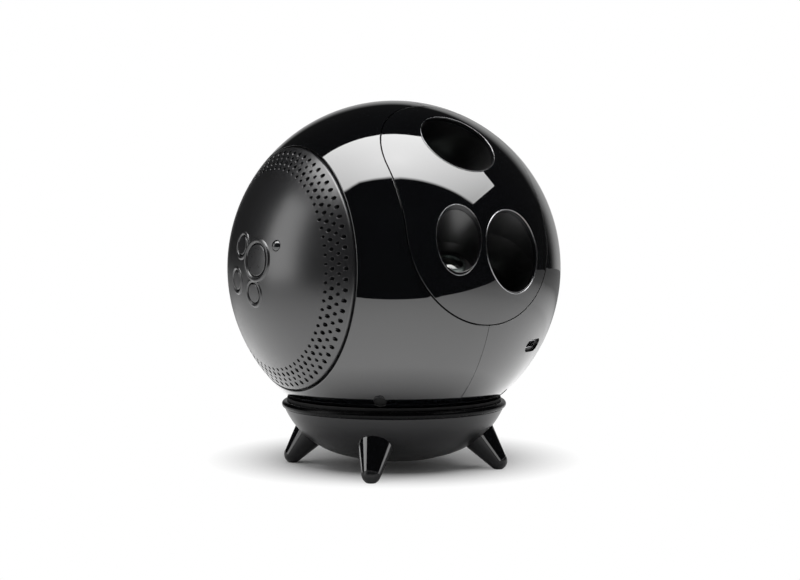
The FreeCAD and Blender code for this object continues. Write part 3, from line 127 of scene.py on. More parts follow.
material, tree, place = fresh("polished_abs_clear_coat")
swell = add(tree, "ShaderNodeTexNoise", {
    "Vector": place, "Scale": repeats(ORANGE_PEEL_MM), "Detail": 1.0})
haze = add(tree, "ShaderNodeTexNoise", {
    "Vector": place, "Scale": repeats(HANDLING_HAZE_MM), "Detail": 5.0})
polish = add(tree, "ShaderNodeMapRange", {
    "Value": haze.outputs["Fac"], "From Min": 0.35, "From Max": 0.75, "To Min": 0.015, "To Max": 0.05})
out = add(tree, "ShaderNodeVectorMath", {0: place, 1: BALL_CENTRE}, operation="DISTANCE")
coated = add(tree, "ShaderNodeMapRange", {
    "Value": out.outputs["Value"], "From Min": BALL_RADIUS - COAT_REACH[0],
    "From Max": BALL_RADIUS - COAT_REACH[1]})
rough = add(tree, "ShaderNodeMix", {
    "Factor": coated.outputs["Result"], "A": BARE_ROUGHNESS, "B": polish.outputs["Result"]},
    data_type="FLOAT")
tint = add(tree, "ShaderNodeMix", {
    "Factor": haze.outputs["Fac"], "A": linear("#07080a"), "B": linear("#0c0d10")}, data_type="RGBA")
edge = add(tree, "ShaderNodeBevel", {"Radius": COATED_EDGE_MM * MM}, samples=BEVEL_SAMPLES)
peel = add(tree, "ShaderNodeBump", {
    "Height": swell.outputs["Fac"], "Distance": ORANGE_PEEL_DEPTH, "Strength": 1.0,
    "Normal": edge.outputs["Normal"]})
shader = add(tree, "ShaderNodeBsdfPrincipled", {
    "Base Color": tint.outputs["Result"], "Roughness": rough.outputs["Result"], "IOR": 1.58,
    "Coat Weight": coated.outputs["Result"], "Coat Roughness": 0.012, "Coat IOR": 1.58,
    "Normal": peel.outputs["Normal"], "Coat Normal": peel.outputs["Normal"]})
finish(tree, shader)
finishes["gloss_black"] = material
print("made", material.name)

# %% [markdown]
# ## Satin shell: spark-eroded ABS
# The loudspeaker cap, the bowl and its legs come from a tool with a fine spark-eroded texture. Its grit
# is about a tenth of a millimetre, too fine to show in the render, so it is drawn a little coarser. It
# gives a broad soft sheen that follows the form. Flow in the mould leaves the sheen slightly uneven. The
# cap also wears a satin lacquer, a second clear layer that doubles the sheen, and the stand goes without.

# %% Spark-eroded ABS
GRIT_MM = 0.28
GRIT_DEPTH = 0.012 * MM
FLOW_MM = 22.0
TOOLED_EDGE_MM = 0.15

def spark_eroded(name, dark, pale, smooth, coarse, index, lacquer):
    """Spark-eroded ABS that drifts between two shades and two roughnesses; lacquer is a share."""
    material, tree, place = fresh(name)
    grit = add(tree, "ShaderNodeTexVoronoi", {"Vector": place, "Scale": repeats(GRIT_MM)},
               feature="SMOOTH_F1")
    flow = add(tree, "ShaderNodeTexNoise", {"Vector": place, "Scale": repeats(FLOW_MM), "Detail": 3.0})
    rough = add(tree, "ShaderNodeMapRange", {
        "Value": flow.outputs["Fac"], "From Min": 0.3, "From Max": 0.7, "To Min": smooth, "To Max": coarse})
    tint = add(tree, "ShaderNodeMix", {
        "Factor": flow.outputs["Fac"], "A": linear(dark), "B": linear(pale)}, data_type="RGBA")
    edge = add(tree, "ShaderNodeBevel", {"Radius": TOOLED_EDGE_MM * MM}, samples=BEVEL_SAMPLES)
    relief = add(tree, "ShaderNodeBump", {
        "Height": grit.outputs["Distance"], "Distance": GRIT_DEPTH, "Strength": 0.6,
        "Normal": edge.outputs["Normal"]})
    shader = add(tree, "ShaderNodeBsdfPrincipled", {
        "Base Color": tint.outputs["Result"], "Roughness": rough.outputs["Result"], "IOR": index,
        "Coat Weight": lacquer, "Coat Roughness": 0.26, "Coat IOR": 1.53,
        "Normal": relief.outputs["Normal"], "Coat Normal": relief.outputs["Normal"]})
    finish(tree, shader)
    print("made", name)
    return material


finishes["satin_black"] = spark_eroded(
    "satin_lacquered_abs", "#1a1a1c", "#202022", smooth=0.29, coarse=0.34, index=1.53, lacquer=1.0)
finishes["stand_grey"] = spark_eroded(
    "spark_eroded_abs", "#131315", "#19191b", smooth=0.28, coarse=0.34, index=1.46, lacquer=0.0)

# %% [markdown]
# ## Lens hoods: fine-textured ABS
# The inside of a lens well must not throw stray light, so it is moulded in black with a fine texture.
# Seen at a low angle down the cone it still has a soft sheen, which runs along each wall as a pale
# upright streak.

# %% Fine-textured ABS
HOOD_GRAIN_MM = 0.5
HOOD_GRAIN_DEPTH = 0.01 * MM

material, tree, place = fresh("fine_textured_abs")
grain = add(tree, "ShaderNodeTexNoise", {
    "Vector": place, "Scale": repeats(HOOD_GRAIN_MM), "Detail": 3.0})
tint = add(tree, "ShaderNodeMix", {
    "Factor": grain.outputs["Fac"], "A": linear("#0e0e0f"), "B": linear("#171718")}, data_type="RGBA")
relief = add(tree, "ShaderNodeBump", {
    "Height": grain.outputs["Fac"], "Distance": HOOD_GRAIN_DEPTH, "Strength": 0.5})
shader = add(tree, "ShaderNodeBsdfPrincipled", {
    "Base Color": tint.outputs["Result"], "Roughness": 0.42, "IOR": 1.53, "Coat Weight": 1.0,
    "Coat Roughness": 0.32, "Coat IOR": 1.53, "Normal": relief.outputs["Normal"]})
finish(tree, shader)
finishes["hood_black"] = material
print("made", material.name)

# %% [markdown]
# ## Buttons: satin key tops
# The keys are the same black ABS as the cap around them, under the same satin lacquer. Thumbs have
# rubbed them unevenly, which shows as a fine change in their sheen.

# %% Key-top ABS
THUMB_WEAR_MM = 1.4

material, tree, place = fresh("key_top_abs")
wear = add(tree, "ShaderNodeTexNoise", {"Vector": place, "Scale": repeats(THUMB_WEAR_MM), "Detail": 4.0})
rough = add(tree, "ShaderNodeMapRange", {
    "Value": wear.outputs["Fac"], "From Min": 0.3, "From Max": 0.7, "To Min": 0.27, "To Max": 0.33})
shader = add(tree, "ShaderNodeBsdfPrincipled", {
    "Base Color": linear("#1e1e20"), "Roughness": rough.outputs["Result"], "IOR": 1.53,
    "Coat Weight": 1.0, "Coat Roughness": 0.27, "Coat IOR": 1.53})
finish(tree, shader)
finishes["button_black"] = material
print("made", material.name)

# %% [markdown]
# ## Indicator: smoked polycarbonate
# The little dome is a light pipe in dark tinted polycarbonate. Off, it is nearly black and very shiny,
# with the deep look of a clear plastic.

# %% Smoked polycarbonate
TINT_CLOUD_MM = 1.0

material, tree, place = fresh("smoked_polycarbonate")
cloud = add(tree, "ShaderNodeTexNoise", {"Vector": place, "Scale": repeats(TINT_CLOUD_MM), "Detail": 2.0})
tint = add(tree, "ShaderNodeMix", {
    "Factor": cloud.outputs["Fac"], "A": linear("#151618"), "B": linear("#26282b")}, data_type="RGBA")
shader = add(tree, "ShaderNodeBsdfPrincipled", {
    "Base Color": tint.outputs["Result"], "Roughness": 0.05, "IOR": 1.585, "Coat Weight": 1.0,
    "Coat Roughness": 0.02, "Transmission Weight": 0.25})
finish(tree, shader)
finishes["indicator_clear"] = material
print("made", material.name)

# %% [markdown]
# ## Lenses: hard coated polycarbonate
# Each lens is moulded in optical polycarbonate and dipped in a hard clear coat against scratches.
# Both bend light strongly, so a lens mirrors the soft box as a bright patch. The plastic has a faint
# cool cast, and wiping has left its polish a little uneven.

# %% Hard coated polycarbonate
WIPE_MARK_MM = 3.0

material, tree, place = fresh("hard_coated_polycarbonate")
polish = add(tree, "ShaderNodeTexNoise", {"Vector": place, "Scale": repeats(WIPE_MARK_MM), "Detail": 2.0})
rough = add(tree, "ShaderNodeMapRange", {"Value": polish.outputs["Fac"], "To Min": 0.0, "To Max": 0.03})
shader = add(tree, "ShaderNodeBsdfPrincipled", {
    "Base Color": linear("#dfeee8"), "Roughness": rough.outputs["Result"], "IOR": 1.585,
    "Transmission Weight": 1.0, "Coat Weight": 1.0, "Coat Roughness": 0.01, "Coat IOR": 1.585})
finish(tree, shader)
finishes["lens_glass"] = material
print("made", material.name)

# %% [markdown]
# ## Rippled and ruled glass
# Behind the top lens turns a disc of pressed glass whose ripples spread the nebula's light. The same
# finish serves the star grating, which is also a clear plate with fine relief.

# %% Rippled glass
RIPPLE_MM = 2.6
RIPPLE_DEPTH = 0.3 * MM

material, tree, place = fresh("rippled_pressed_glass")
ripple = add(tree, "ShaderNodeTexNoise", {
    "Vector": place, "Scale": repeats(RIPPLE_MM), "Detail": 1.0, "Distortion": 0.6})
relief = add(tree, "ShaderNodeBump", {
    "Height": ripple.outputs["Fac"], "Distance": RIPPLE_DEPTH, "Strength": 0.8})
shader = add(tree, "ShaderNodeBsdfPrincipled", {
    "Base Color": linear("#dfe9ee"), "Roughness": 0.04, "IOR": 1.5, "Transmission Weight": 1.0,
    "Normal": relief.outputs["Normal"]})
finish(tree, shader)
finishes["ripple_glass"] = material
print("made", material.name)

# %% [markdown]
# ## Soft lip: silicone rubber
# The ball lies on a moulded silicone lip, and silicone plugs close the screw holes. The rubber is matt
# and nearly black. It picks up dust, which shows as small pale specks.

# %% Silicone rubber
DUST_SPECK_MM = 1.1

material, tree, place = fresh("black_silicone")
dust = add(tree, "ShaderNodeTexNoise", {"Vector": place, "Scale": repeats(DUST_SPECK_MM), "Detail": 6.0})
speck = add(tree, "ShaderNodeMapRange", {"Value": dust.outputs["Fac"], "From Min": 0.66, "From Max": 0.78})
tint = add(tree, "ShaderNodeMix", {
    "Factor": speck.outputs["Result"], "A": linear("#050505"), "B": linear("#121212")}, data_type="RGBA")
shader = add(tree, "ShaderNodeBsdfPrincipled", {
    "Base Color": tint.outputs["Result"], "Roughness": 0.7, "IOR": 1.41})
finish(tree, shader)
finishes["soft_black"] = material
print("made", material.name)

# %% [markdown]
# ## Turning ring: black acetal
# The ring turns in the bowl without grease, so it is acetal, which slides well. Acetal comes from the
# lathe or the mould with a dull, waxy face that reflects much less than the coated ball above it.

# %% Black acetal
SCUFF_MM = 2.5

material, tree, place = fresh("black_acetal")
scuff = add(tree, "ShaderNodeTexNoise", {"Vector": place, "Scale": repeats(SCUFF_MM), "Detail": 5.0})
rough = add(tree, "ShaderNodeMapRange", {
    "Value": scuff.outputs["Fac"], "From Min": 0.3, "From Max": 0.7, "To Min": 0.2, "To Max": 0.3})
shader = add(tree, "ShaderNodeBsdfPrincipled", {
    "Base Color": linear("#070708"), "Roughness": rough.outputs["Result"], "IOR": 1.48,
    "Specular IOR Level": 0.1})
finish(tree, shader)
black_acetal = material
print("made", material.name)

# %% [markdown]
# ## Plain moulded pieces inside
# Carrier, chassis, baffle, cradle and gear are plain mouldings that nobody polishes. Each has the same
# make-up: a soft moulded grain and a little colour drift, in its own colour.

# %% Plain moulded plastics
MOULD_GRAIN_MM = 0.8
MOULD_GRAIN_DEPTH = 0.02 * MM
COLOUR_DRIFT_MM = 18.0

def moulding(name, dark, pale, roughness):
    """A plain moulded plastic that drifts between two shades."""
    material, tree, place = fresh(name)
    drift = add(tree, "ShaderNodeTexNoise", {
        "Vector": place, "Scale": repeats(COLOUR_DRIFT_MM), "Detail": 4.0})
    grain = add(tree, "ShaderNodeTexNoise", {
        "Vector": place, "Scale": repeats(MOULD_GRAIN_MM), "Detail": 2.0})
    tint = add(tree, "ShaderNodeMix", {
        "Factor": drift.outputs["Fac"], "A": linear(dark), "B": linear(pale)}, data_type="RGBA")
    relief = add(tree, "ShaderNodeBump", {
        "Height": grain.outputs["Fac"], "Distance": MOULD_GRAIN_DEPTH, "Strength": 0.4})
    shader = add(tree, "ShaderNodeBsdfPrincipled", {
        "Base Color": tint.outputs["Result"], "Roughness": roughness, "IOR": 1.5,
        "Normal": relief.outputs["Normal"]})
    finish(tree, shader)
    print("made", name)
    return material


finishes["inner_black"] = moulding("moulded_black_abs", "#161617", "#232325", 0.5)
finishes["inner_white"] = moulding("moulded_white_abs", "#cfcdc6", "#dedcd6", 0.45)
finishes["gear_white"] = moulding("moulded_acetal", "#dbd9cf", "#e8e6dd", 0.3)
finishes["chip_black"] = moulding("moulded_epoxy", "#121213", "#202021", 0.4)
finishes["paper_cone"] = moulding("pressed_paper", "#1b1b1b", "#2e2d2c", 0.85)

# %% [markdown]
# ## Metals
# Screws, the motor can and the basket are zinc or nickel plated steel, the sinks are extruded
# aluminium, the laser barrel, pinion and standoffs are turned brass, and the weight is cast iron. All
# are metals, so their colour is the colour of their reflection. The tool marks differ: turned and
# extruded stock has fine lines, castings have a rough grain. A mark is rougher or smoother than the
# face round it by about a third.

# %% Plated, turned, extruded and cast metals
TOOL_MARK_DEPTH = 0.01 * MM
MARK_SPREAD = 0.3

def metal(name, dark, pale, roughness, mark_mm, stretch):
    """A bare metal with tool marks of a given size, stretched along Z where they are lines."""
    material, tree, place = fresh(name)
    lines = add(tree, "ShaderNodeMapping", {"Vector": place, "Scale": (1.0, 1.0, stretch)})
    marks = add(tree, "ShaderNodeTexNoise", {
        "Vector": lines.outputs["Vector"], "Scale": repeats(mark_mm), "Detail": 4.0})
    tint = add(tree, "ShaderNodeMix", {
        "Factor": marks.outputs["Fac"], "A": linear(dark), "B": linear(pale)}, data_type="RGBA")
    rough = add(tree, "ShaderNodeMapRange", {
        "Value": marks.outputs["Fac"], "To Min": roughness * (1.0 - MARK_SPREAD),
        "To Max": roughness * (1.0 + MARK_SPREAD)})
    relief = add(tree, "ShaderNodeBump", {
        "Height": marks.outputs["Fac"], "Distance": TOOL_MARK_DEPTH, "Strength": 0.4})
    shader = add(tree, "ShaderNodeBsdfPrincipled", {
        "Base Color": tint.outputs["Result"], "Roughness": rough.outputs["Result"], "Metallic": 1.0,
        "Normal": relief.outputs["Normal"]})
    finish(tree, shader)
    print("made", name)
    return material


finishes["steel"] = metal("nickel_plated_steel", "#9c9c9e", "#bdbdc0", 0.28, 0.6, 8.0)
finishes["zinc_steel"] = metal("zinc_plated_steel", "#a3a7aa", "#c6cacd", 0.35, 1.2, 1.0)
finishes["brass"] = metal("turned_brass", "#b08d4f", "#cfae6c", 0.25, 0.3, 6.0)
finishes["sink_aluminium"] = metal("extruded_aluminium", "#a9abae", "#c9cbce", 0.34, 0.4, 0.1)
finishes["weight_iron"] = metal("cast_iron", "#4a4a4b", "#636363", 0.6, 1.0, 1.0)
finishes["ring_grey"] = metal("anodised_grey_aluminium", "#5d6462", "#7d8582", 0.3, 0.3, 1.0)

# %% [markdown]
# ## Circuit boards
# A board is green solder mask over copper: tracks show through as slightly lighter lines. A brick
# pattern of thin joints at the pitch of real tracks is a fair picture of that. The light boards are the
# same with a white mask on aluminium.

# %% Solder mask
TRACK_PITCH_MM = 1.6
TRACK_HEIGHT = 0.03 * MM

def solder_mask(name, mask, track):
    """A board's lacquer with tracks showing through it."""
    material, tree, place = fresh(name)
    tracks = add(tree, "ShaderNodeTexBrick", {
        "Vector": place, "Color1": linear(mask), "Color2": linear(mask), "Mortar": linear(track),
        "Scale": repeats(TRACK_PITCH_MM), "Mortar Size": 0.06, "Brick Width": 4.0, "Row Height": 1.0})
    relief = add(tree, "ShaderNodeBump", {
        "Height": tracks.outputs["Fac"], "Distance": TRACK_HEIGHT, "Strength": 0.5})
    shader = add(tree, "ShaderNodeBsdfPrincipled", {
        "Base Color": tracks.outputs["Color"], "Roughness": 0.3, "IOR": 1.5,
        "Normal": relief.outputs["Normal"]})
    finish(tree, shader)
    print("made", name)
    return material


finishes["board_green"] = solder_mask("green_solder_mask", "#0c3d22", "#1c5a35")
finishes["light_board"] = solder_mask("white_solder_mask", "#e6e6e2", "#d2d2cc")

# %% [markdown]
# ## Dust mesh, cell sleeve and slide film
# Behind the sound holes lies a woven polyester mesh. Its threads are a third of a millimetre apart, too
# fine to show, so they are drawn some six times as coarse: the wave texture turns through 20 radians in
# each unit of length, and one thread is given one radian. The cell wears a shrunk PVC sleeve, and the
# slide is a printed gelatine film between glass, which here stays a plain dark blue.

# %% Woven polyester mesh
THREAD_MM = 0.3
THREAD_HEIGHT = 0.1 * MM
WAVE_RADIANS = 20.0

material, tree, place = fresh("woven_polyester_mesh")
weft, warp = [add(tree, "ShaderNodeTexWave", {
    "Vector": place, "Scale": repeats(THREAD_MM) / WAVE_RADIANS}, bands_direction=way) for way in "YZ"]
weave = add(tree, "ShaderNodeMath", {0: weft.outputs["Fac"], 1: warp.outputs["Fac"]}, operation="MAXIMUM")
tint = add(tree, "ShaderNodeMix", {
    "Factor": weave.outputs["Value"], "A": linear("#050505"), "B": linear("#161617")}, data_type="RGBA")
relief = add(tree, "ShaderNodeBump", {
    "Height": weave.outputs["Value"], "Distance": THREAD_HEIGHT, "Strength": 0.8})
shader = add(tree, "ShaderNodeBsdfPrincipled", {
    "Base Color": tint.outputs["Result"], "Roughness": 0.7, "Sheen Weight": 0.2,
    "Normal": relief.outputs["Normal"]})
finish(tree, shader)
finishes["grille_mesh"] = material
print("made", material.name)

# %% PVC sleeve and slide film
FILM_DRIFT_MM = 6.0

def film(name, dark, pale, roughness):
    """A smooth plastic film with a slow drift in its colour."""
    material, tree, place = fresh(name)
    drift = add(tree, "ShaderNodeTexNoise", {
        "Vector": place, "Scale": repeats(FILM_DRIFT_MM), "Detail": 3.0})
    tint = add(tree, "ShaderNodeMix", {
        "Factor": drift.outputs["Fac"], "A": linear(dark), "B": linear(pale)}, data_type="RGBA")
    shader = add(tree, "ShaderNodeBsdfPrincipled", {
        "Base Color": tint.outputs["Result"], "Roughness": roughness, "IOR": 1.52, "Coat Weight": 0.4})
    finish(tree, shader)
    print("made", name)
    return material


finishes["cell_wrap"] = film("pvc_sleeve", "#1d4f74", "#2a6490", 0.25)
finishes["slide_film"] = film("gelatine_slide", "#0c1530", "#23305c", 0.12)

# %% [markdown]
# ## Give each solid its finish
# The record names a material slot for every solid. The slot's name picks the finish, so a solid that is
# added to the CAD later gets its look from the same list. The turning ring shares its slot with the
# coated pieces and is duller than they are, so it gets its own finish by name.

# %% Assign the finishes
for part in frame["record"]["subparts"]:
    mesh = frame["nodes"][part["node"]].data
    mesh.materials.clear()
    mesh.materials.append(finishes[part["material_slot"]])
frame["nodes"]["seat_ring"].data.materials[0] = black_acetal

# %% [markdown]
# ## Trim rings round the wells
# A thin bright ring is pressed into the mouth of each well, a thicker one into the widest. The mouth is
# where the well's cone leaves the ball, so the ring's line is worked out from both: each point starts on
# the cone's circle and slides along the well's axis until it reaches the ball. A closed curve with a
# round bevel follows that line, half sunk into the panel. It takes the finish of the other plated steel.

# %% Trim rings
REST_TILT = math.radians(-26.5)
TRIM_POINTS = 120
BALL_PLACE = Matrix.Translation(BALL_CENTRE) @ Matrix.Rotation(REST_TILT, 4, "X")

def well_trim(name, side, height, rise, turn, radius, wire):
    """A wire ring where a well leaves the ball; its axis passes side and height from the ball's centre,
    rises and turns by degrees, and radius and wire are half the ring's and half the wire's width in mm."""
    aim = Matrix.Rotation(math.radians(turn), 4, "Z") @ Matrix.Rotation(math.radians(-rise), 4, "X")
    way = aim @ Vector((0.0, -1.0, 0.0))
    front = math.sqrt((BALL_RADIUS / MM) ** 2 - side ** 2 - height ** 2)
    mouth = Vector((side, -front, height)) * MM
    curve = bpy.data.curves.new(name, "CURVE")
    curve.dimensions = "3D"
    curve.bevel_depth = wire * MM
    curve.bevel_resolution = 3
    line = curve.splines.new("POLY")
    line.points.add(TRIM_POINTS - 1)
    line.use_cyclic_u = True
    for count, point in enumerate(line.points):
        angle = math.tau * count / TRIM_POINTS
        rim = mouth + aim @ Vector((math.cos(angle), 0.0, math.sin(angle))) * (radius * MM)
        along = rim.dot(way)
        slide = math.sqrt(along ** 2 - rim.length_squared + BALL_RADIUS ** 2) - along
        point.co = (*(BALL_PLACE @ (rim + way * slide)), 1.0)
    curve.materials.append(finishes["steel"])
    trim = bpy.data.objects.new(name, curve)
    bpy.context.scene.collection.objects.link(trim)
    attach(trim, "ball")
    print(name, "with", TRIM_POINTS, "points")


well_trim("top_well_trim", side=-0.7, height=23.5, rise=0.0, turn=0.0, radius=15.5, wire=0.1)
well_trim("middle_well_trim", side=-14.4, height=-18.1, rise=30.0, turn=-5.0, radius=9.35, wire=0.08)
well_trim("right_well_trim", side=10.4, height=-23.1, rise=11.0, turn=0.0, radius=13.9, wire=0.22)

# %% [markdown]
# ## Camera
# The camera stands where the photographer's stood: 0.6 m from the ball's centre, just above its height
# and turned towards the loudspeaker side. A small lens shift puts the ball where it sits in the frame.

# %% Camera
VIEW_TURN = math.radians(-33.3)
VIEW_RISE = math.radians(1.15)
VIEW_DISTANCE = 600.0 * MM
FRAME_WIDTH, FRAME_HEIGHT = 800, 580
FOCAL_PIXELS = 1419.0
BALL_PIXEL = (394.0, 267.2)
SENSOR_WIDTH_MM = 36.0
NEAR_CLIP = 10.0 * MM

turned = Matrix.Rotation(VIEW_TURN, 4, "Z")
outward = turned @ Vector((0.0, -math.cos(VIEW_RISE), math.sin(VIEW_RISE)))
lens = bpy.data.cameras.new("camera")
lens.sensor_width = SENSOR_WIDTH_MM
lens.lens = FOCAL_PIXELS / FRAME_WIDTH * lens.sensor_width
lens.shift_x = (FRAME_WIDTH / 2 - BALL_PIXEL[0]) / FRAME_WIDTH
lens.shift_y = (BALL_PIXEL[1] - FRAME_HEIGHT / 2) / FRAME_WIDTH
lens.clip_start = NEAR_CLIP
camera = bpy.data.objects.new("camera", lens)
camera.rotation_euler = (-outward).to_track_quat("-Z", "Y").to_euler()
camera.location = BALL_CENTRE + outward * VIEW_DISTANCE
bpy.context.scene.collection.objects.link(camera)
bpy.context.scene.camera = camera
print("lens", round(lens.lens, 1), "mm, shift", round(lens.shift_x, 4), round(lens.shift_y, 4))

# %% [markdown]
# ## Table
# The ball mirrors the table in its lower half, and the table's front edge is the sharp border across the
# ball. So the table is one sheet that ends a hand's width in front of the ball, in line with the camera.
# A second sheet goes on where the table ends, so that other views find a floor too, but mirrors don't
# see it. For the camera the painted top goes over into plain white close round the legs, where the
# shadow ends. For mirrors a pool of light is painted on the top in front of the ball as a glow, the way
# a real lamp lights the near part of a table more than the far part. The painted pool leaves out the
# floor under the stand, and painted shade makes the far table dimmer again.

# %% Table top: paint, white surroundings, a painted pool of light and painted far shade
TABLE_FRONT = 270.0 * MM
SHEET_REACH = 3000.0 * MM
SHADOW_SHIFT = 25.0 * MM
SHADOW_FADE = (45.0 * MM, 82.0 * MM)
POOL_SHIFT = -60.0 * MM
POOL_FADE = (30.0 * MM, 324.0 * MM)
PAINTED_POOL_LEVEL = 0.74
UNDER_STAND = (44.0 * MM, 78.0 * MM)
PAINTED_SHADE_REACH = (340.0 * MM, 800.0 * MM)
PAINTED_SHADE_LEVEL = 0.62
PAINT_FLECK_MM = 40.0

material, tree, place = fresh("painted_table_top")
fleck = add(tree, "ShaderNodeTexNoise", {"Vector": place, "Scale": repeats(PAINT_FLECK_MM), "Detail": 2.0})
tint = add(tree, "ShaderNodeMix", {
    "Factor": fleck.outputs["Fac"], "A": linear("#f4f4f4"), "B": linear("#f8f8f8")}, data_type="RGBA")
paint = add(tree, "ShaderNodeBsdfDiffuse", {"Color": tint.outputs["Result"]})
white = add(tree, "ShaderNodeEmission", {"Color": WHITE, "Strength": 1.0})
rays = add(tree, "ShaderNodeLightPath")
shadow = add(tree, "ShaderNodeVectorMath", {
    0: place, 1: turned @ Vector((0.0, SHADOW_SHIFT, 0.0))}, operation="DISTANCE")
far = add(tree, "ShaderNodeMapRange", {
    "Value": shadow.outputs["Value"], "From Min": SHADOW_FADE[0], "From Max": SHADOW_FADE[1]})
shown = add(tree, "ShaderNodeMath", {
    0: far.outputs["Result"], 1: rays.outputs["Is Camera Ray"]}, operation="MULTIPLY")
top = add(tree, "ShaderNodeMixShader", {
    0: shown.outputs["Value"], 1: paint.outputs[0], 2: white.outputs[0]})
# Painted light: for mirrors a glow is added to the table in a pool in front of the ball, left out under the
# stand.
pool = add(tree, "ShaderNodeVectorMath", {
    0: place, 1: turned @ Vector((0.0, POOL_SHIFT, 0.0))}, operation="DISTANCE")
glow = add(tree, "ShaderNodeMapRange", {
    "Value": pool.outputs["Value"], "From Min": POOL_FADE[0], "From Max": POOL_FADE[1],
    "To Min": PAINTED_POOL_LEVEL, "To Max": 0.0})
middle = add(tree, "ShaderNodeVectorMath", {0: place}, operation="LENGTH")
clear = add(tree, "ShaderNodeMapRange", {
    "Value": middle.outputs["Value"], "From Min": UNDER_STAND[0], "From Max": UNDER_STAND[1]})
painted_pool = add(tree, "ShaderNodeMath", {
    0: glow.outputs["Result"], 1: clear.outputs["Result"]}, operation="MULTIPLY")
mirrored = add(tree, "ShaderNodeMath", {
    0: painted_pool.outputs["Value"], 1: rays.outputs["Is Glossy Ray"]}, operation="MULTIPLY")
painted_light_pool = add(tree, "ShaderNodeEmission", {"Color": WHITE, "Strength": mirrored.outputs["Value"]})
pooled = add(tree, "ShaderNodeAddShader", {0: top.outputs[0], 1: painted_light_pool.outputs[0]})
# Painted shade: for mirrors the far table is mixed towards a black emission, darker with distance from the
# ball.
painted_shade_ramp = add(tree, "ShaderNodeMapRange", {
    "Value": middle.outputs["Value"], "From Min": PAINTED_SHADE_REACH[0], "From Max": PAINTED_SHADE_REACH[1],
    "To Max": PAINTED_SHADE_LEVEL})
painted_shade_mask = add(tree, "ShaderNodeMath", {
    0: painted_shade_ramp.outputs["Result"], 1: rays.outputs["Is Glossy Ray"]}, operation="MULTIPLY")
dark = add(tree, "ShaderNodeEmission", {"Strength": 0.0})
finish(tree, add(tree, "ShaderNodeMixShader", {
    0: painted_shade_mask.outputs["Value"], 1: pooled.outputs[0], 2: dark.outputs[0]}))

# %% Table and floor sheets
def sheet(name, front, back):
    """A flat sheet between two distances along the camera's way, seen from the ball."""
    mesh = bpy.data.meshes.new(name)
    corners = [(-SHEET_REACH, front, 0.0), (SHEET_REACH, front, 0.0), (SHEET_REACH, back, 0.0),
               (-SHEET_REACH, back, 0.0)]
    mesh.from_pydata([turned @ Vector((x, -y, z)) for x, y, z in corners], [], [(0, 1, 2, 3)])
    mesh.materials.append(material)
    made = bpy.data.objects.new(name, mesh)
    bpy.context.scene.collection.objects.link(made)
    return made


sheet("table", TABLE_FRONT, -SHEET_REACH)
apron = sheet("floor_in_front", SHEET_REACH, TABLE_FRONT)
apron.visible_glossy = False
print("table front at", round(TABLE_FRONT / MM), "mm")

# %% [markdown]
# ## Key light
# One long soft box hangs level above the ball, its long side across the view. Its outline is read from
# the bright band on the ball. It is made twice in the same place: an area light that lights the scene at
# a plain level, and a glowing cloth that only reflections see, because the face of a real soft box is
# much brighter than what it lights. The cloth is brightest near its tube and darker towards the ends,
# its front hem fades out, and at one end it hangs further forward.

# %% Soft box
BOX_HEIGHT = 900.0 * MM
BOX_SIDES = (-720.0 * MM, 1010.0 * MM)
BOX_DEPTHS = (-118.0 * MM, 468.0 * MM)
LIGHT_LEVEL = 2.2

lamp = bpy.data.lights.new("soft_box", "AREA")
lamp.shape = "RECTANGLE"
lamp.size = BOX_SIDES[1] - BOX_SIDES[0]
lamp.size_y = BOX_DEPTHS[1] - BOX_DEPTHS[0]
lamp.energy = LIGHT_LEVEL * math.pi * lamp.size * lamp.size_y
key = bpy.data.objects.new("soft_box", lamp)
centre = Vector((sum(BOX_SIDES) / 2, -sum(BOX_DEPTHS) / 2, BOX_HEIGHT))
key.matrix_world = Matrix.Translation(turned @ centre) @ turned
key.visible_glossy = False
key.visible_camera = False
bpy.context.scene.collection.objects.link(key)
print("soft box", round(lamp.size, 2), "by", round(lamp.size_y, 2), "m")

# %% The soft box's cloth, as mirrors see it
TUBE_PLACE = Vector((30.0 * MM, -230.0 * MM, BOX_HEIGHT))
TUBE_REACH = 920.0 * MM
CLOTH_LEVELS = (7.0, 3.5)
HEM_FADE = (-480.0 * MM, -440.0 * MM)
SWAG_SIDES = (-520.0 * MM, -330.0 * MM)
SWAG_DROP = 65.0 * MM

material, tree, place = fresh("soft_box_cloth")
tube = add(tree, "ShaderNodeVectorMath", {0: place, 1: TUBE_PLACE}, operation="DISTANCE")
glow = add(tree, "ShaderNodeMapRange", {
    "Value": tube.outputs["Value"], "From Max": TUBE_REACH, "To Min": CLOTH_LEVELS[0],
    "To Max": CLOTH_LEVELS[1]})
axes = add(tree, "ShaderNodeSeparateXYZ", {"Vector": place})
swag = add(tree, "ShaderNodeMapRange", {
    "Value": axes.outputs["X"], "From Min": SWAG_SIDES[0], "From Max": SWAG_SIDES[1],
    "To Min": SWAG_DROP, "To Max": 0.0})
depth = add(tree, "ShaderNodeMath", {0: axes.outputs["Y"], 1: swag.outputs["Result"]}, operation="ADD")
hem = add(tree, "ShaderNodeMapRange", {
    "Value": depth.outputs["Value"], "From Min": HEM_FADE[0], "From Max": HEM_FADE[1]})
strength = add(tree, "ShaderNodeMath", {
    0: glow.outputs["Result"], 1: hem.outputs["Result"]}, operation="MULTIPLY")
finish(tree, add(tree, "ShaderNodeEmission", {"Color": WHITE, "Strength": strength.outputs["Value"]}))


def mirror_screen(name, corners, material):
    """A flat glowing screen that only mirrors see; its corners are given as the camera faces it."""
    mesh = bpy.data.meshes.new(name)
    mesh.from_pydata(corners, [], [tuple(range(len(corners)))])
    mesh.materials.append(material)
    made = bpy.data.objects.new(name, mesh)
    made.matrix_world = turned
    made.visible_camera = False
    made.visible_diffuse = False
    made.visible_transmission = False
    made.visible_shadow = False
    bpy.context.scene.collection.objects.link(made)


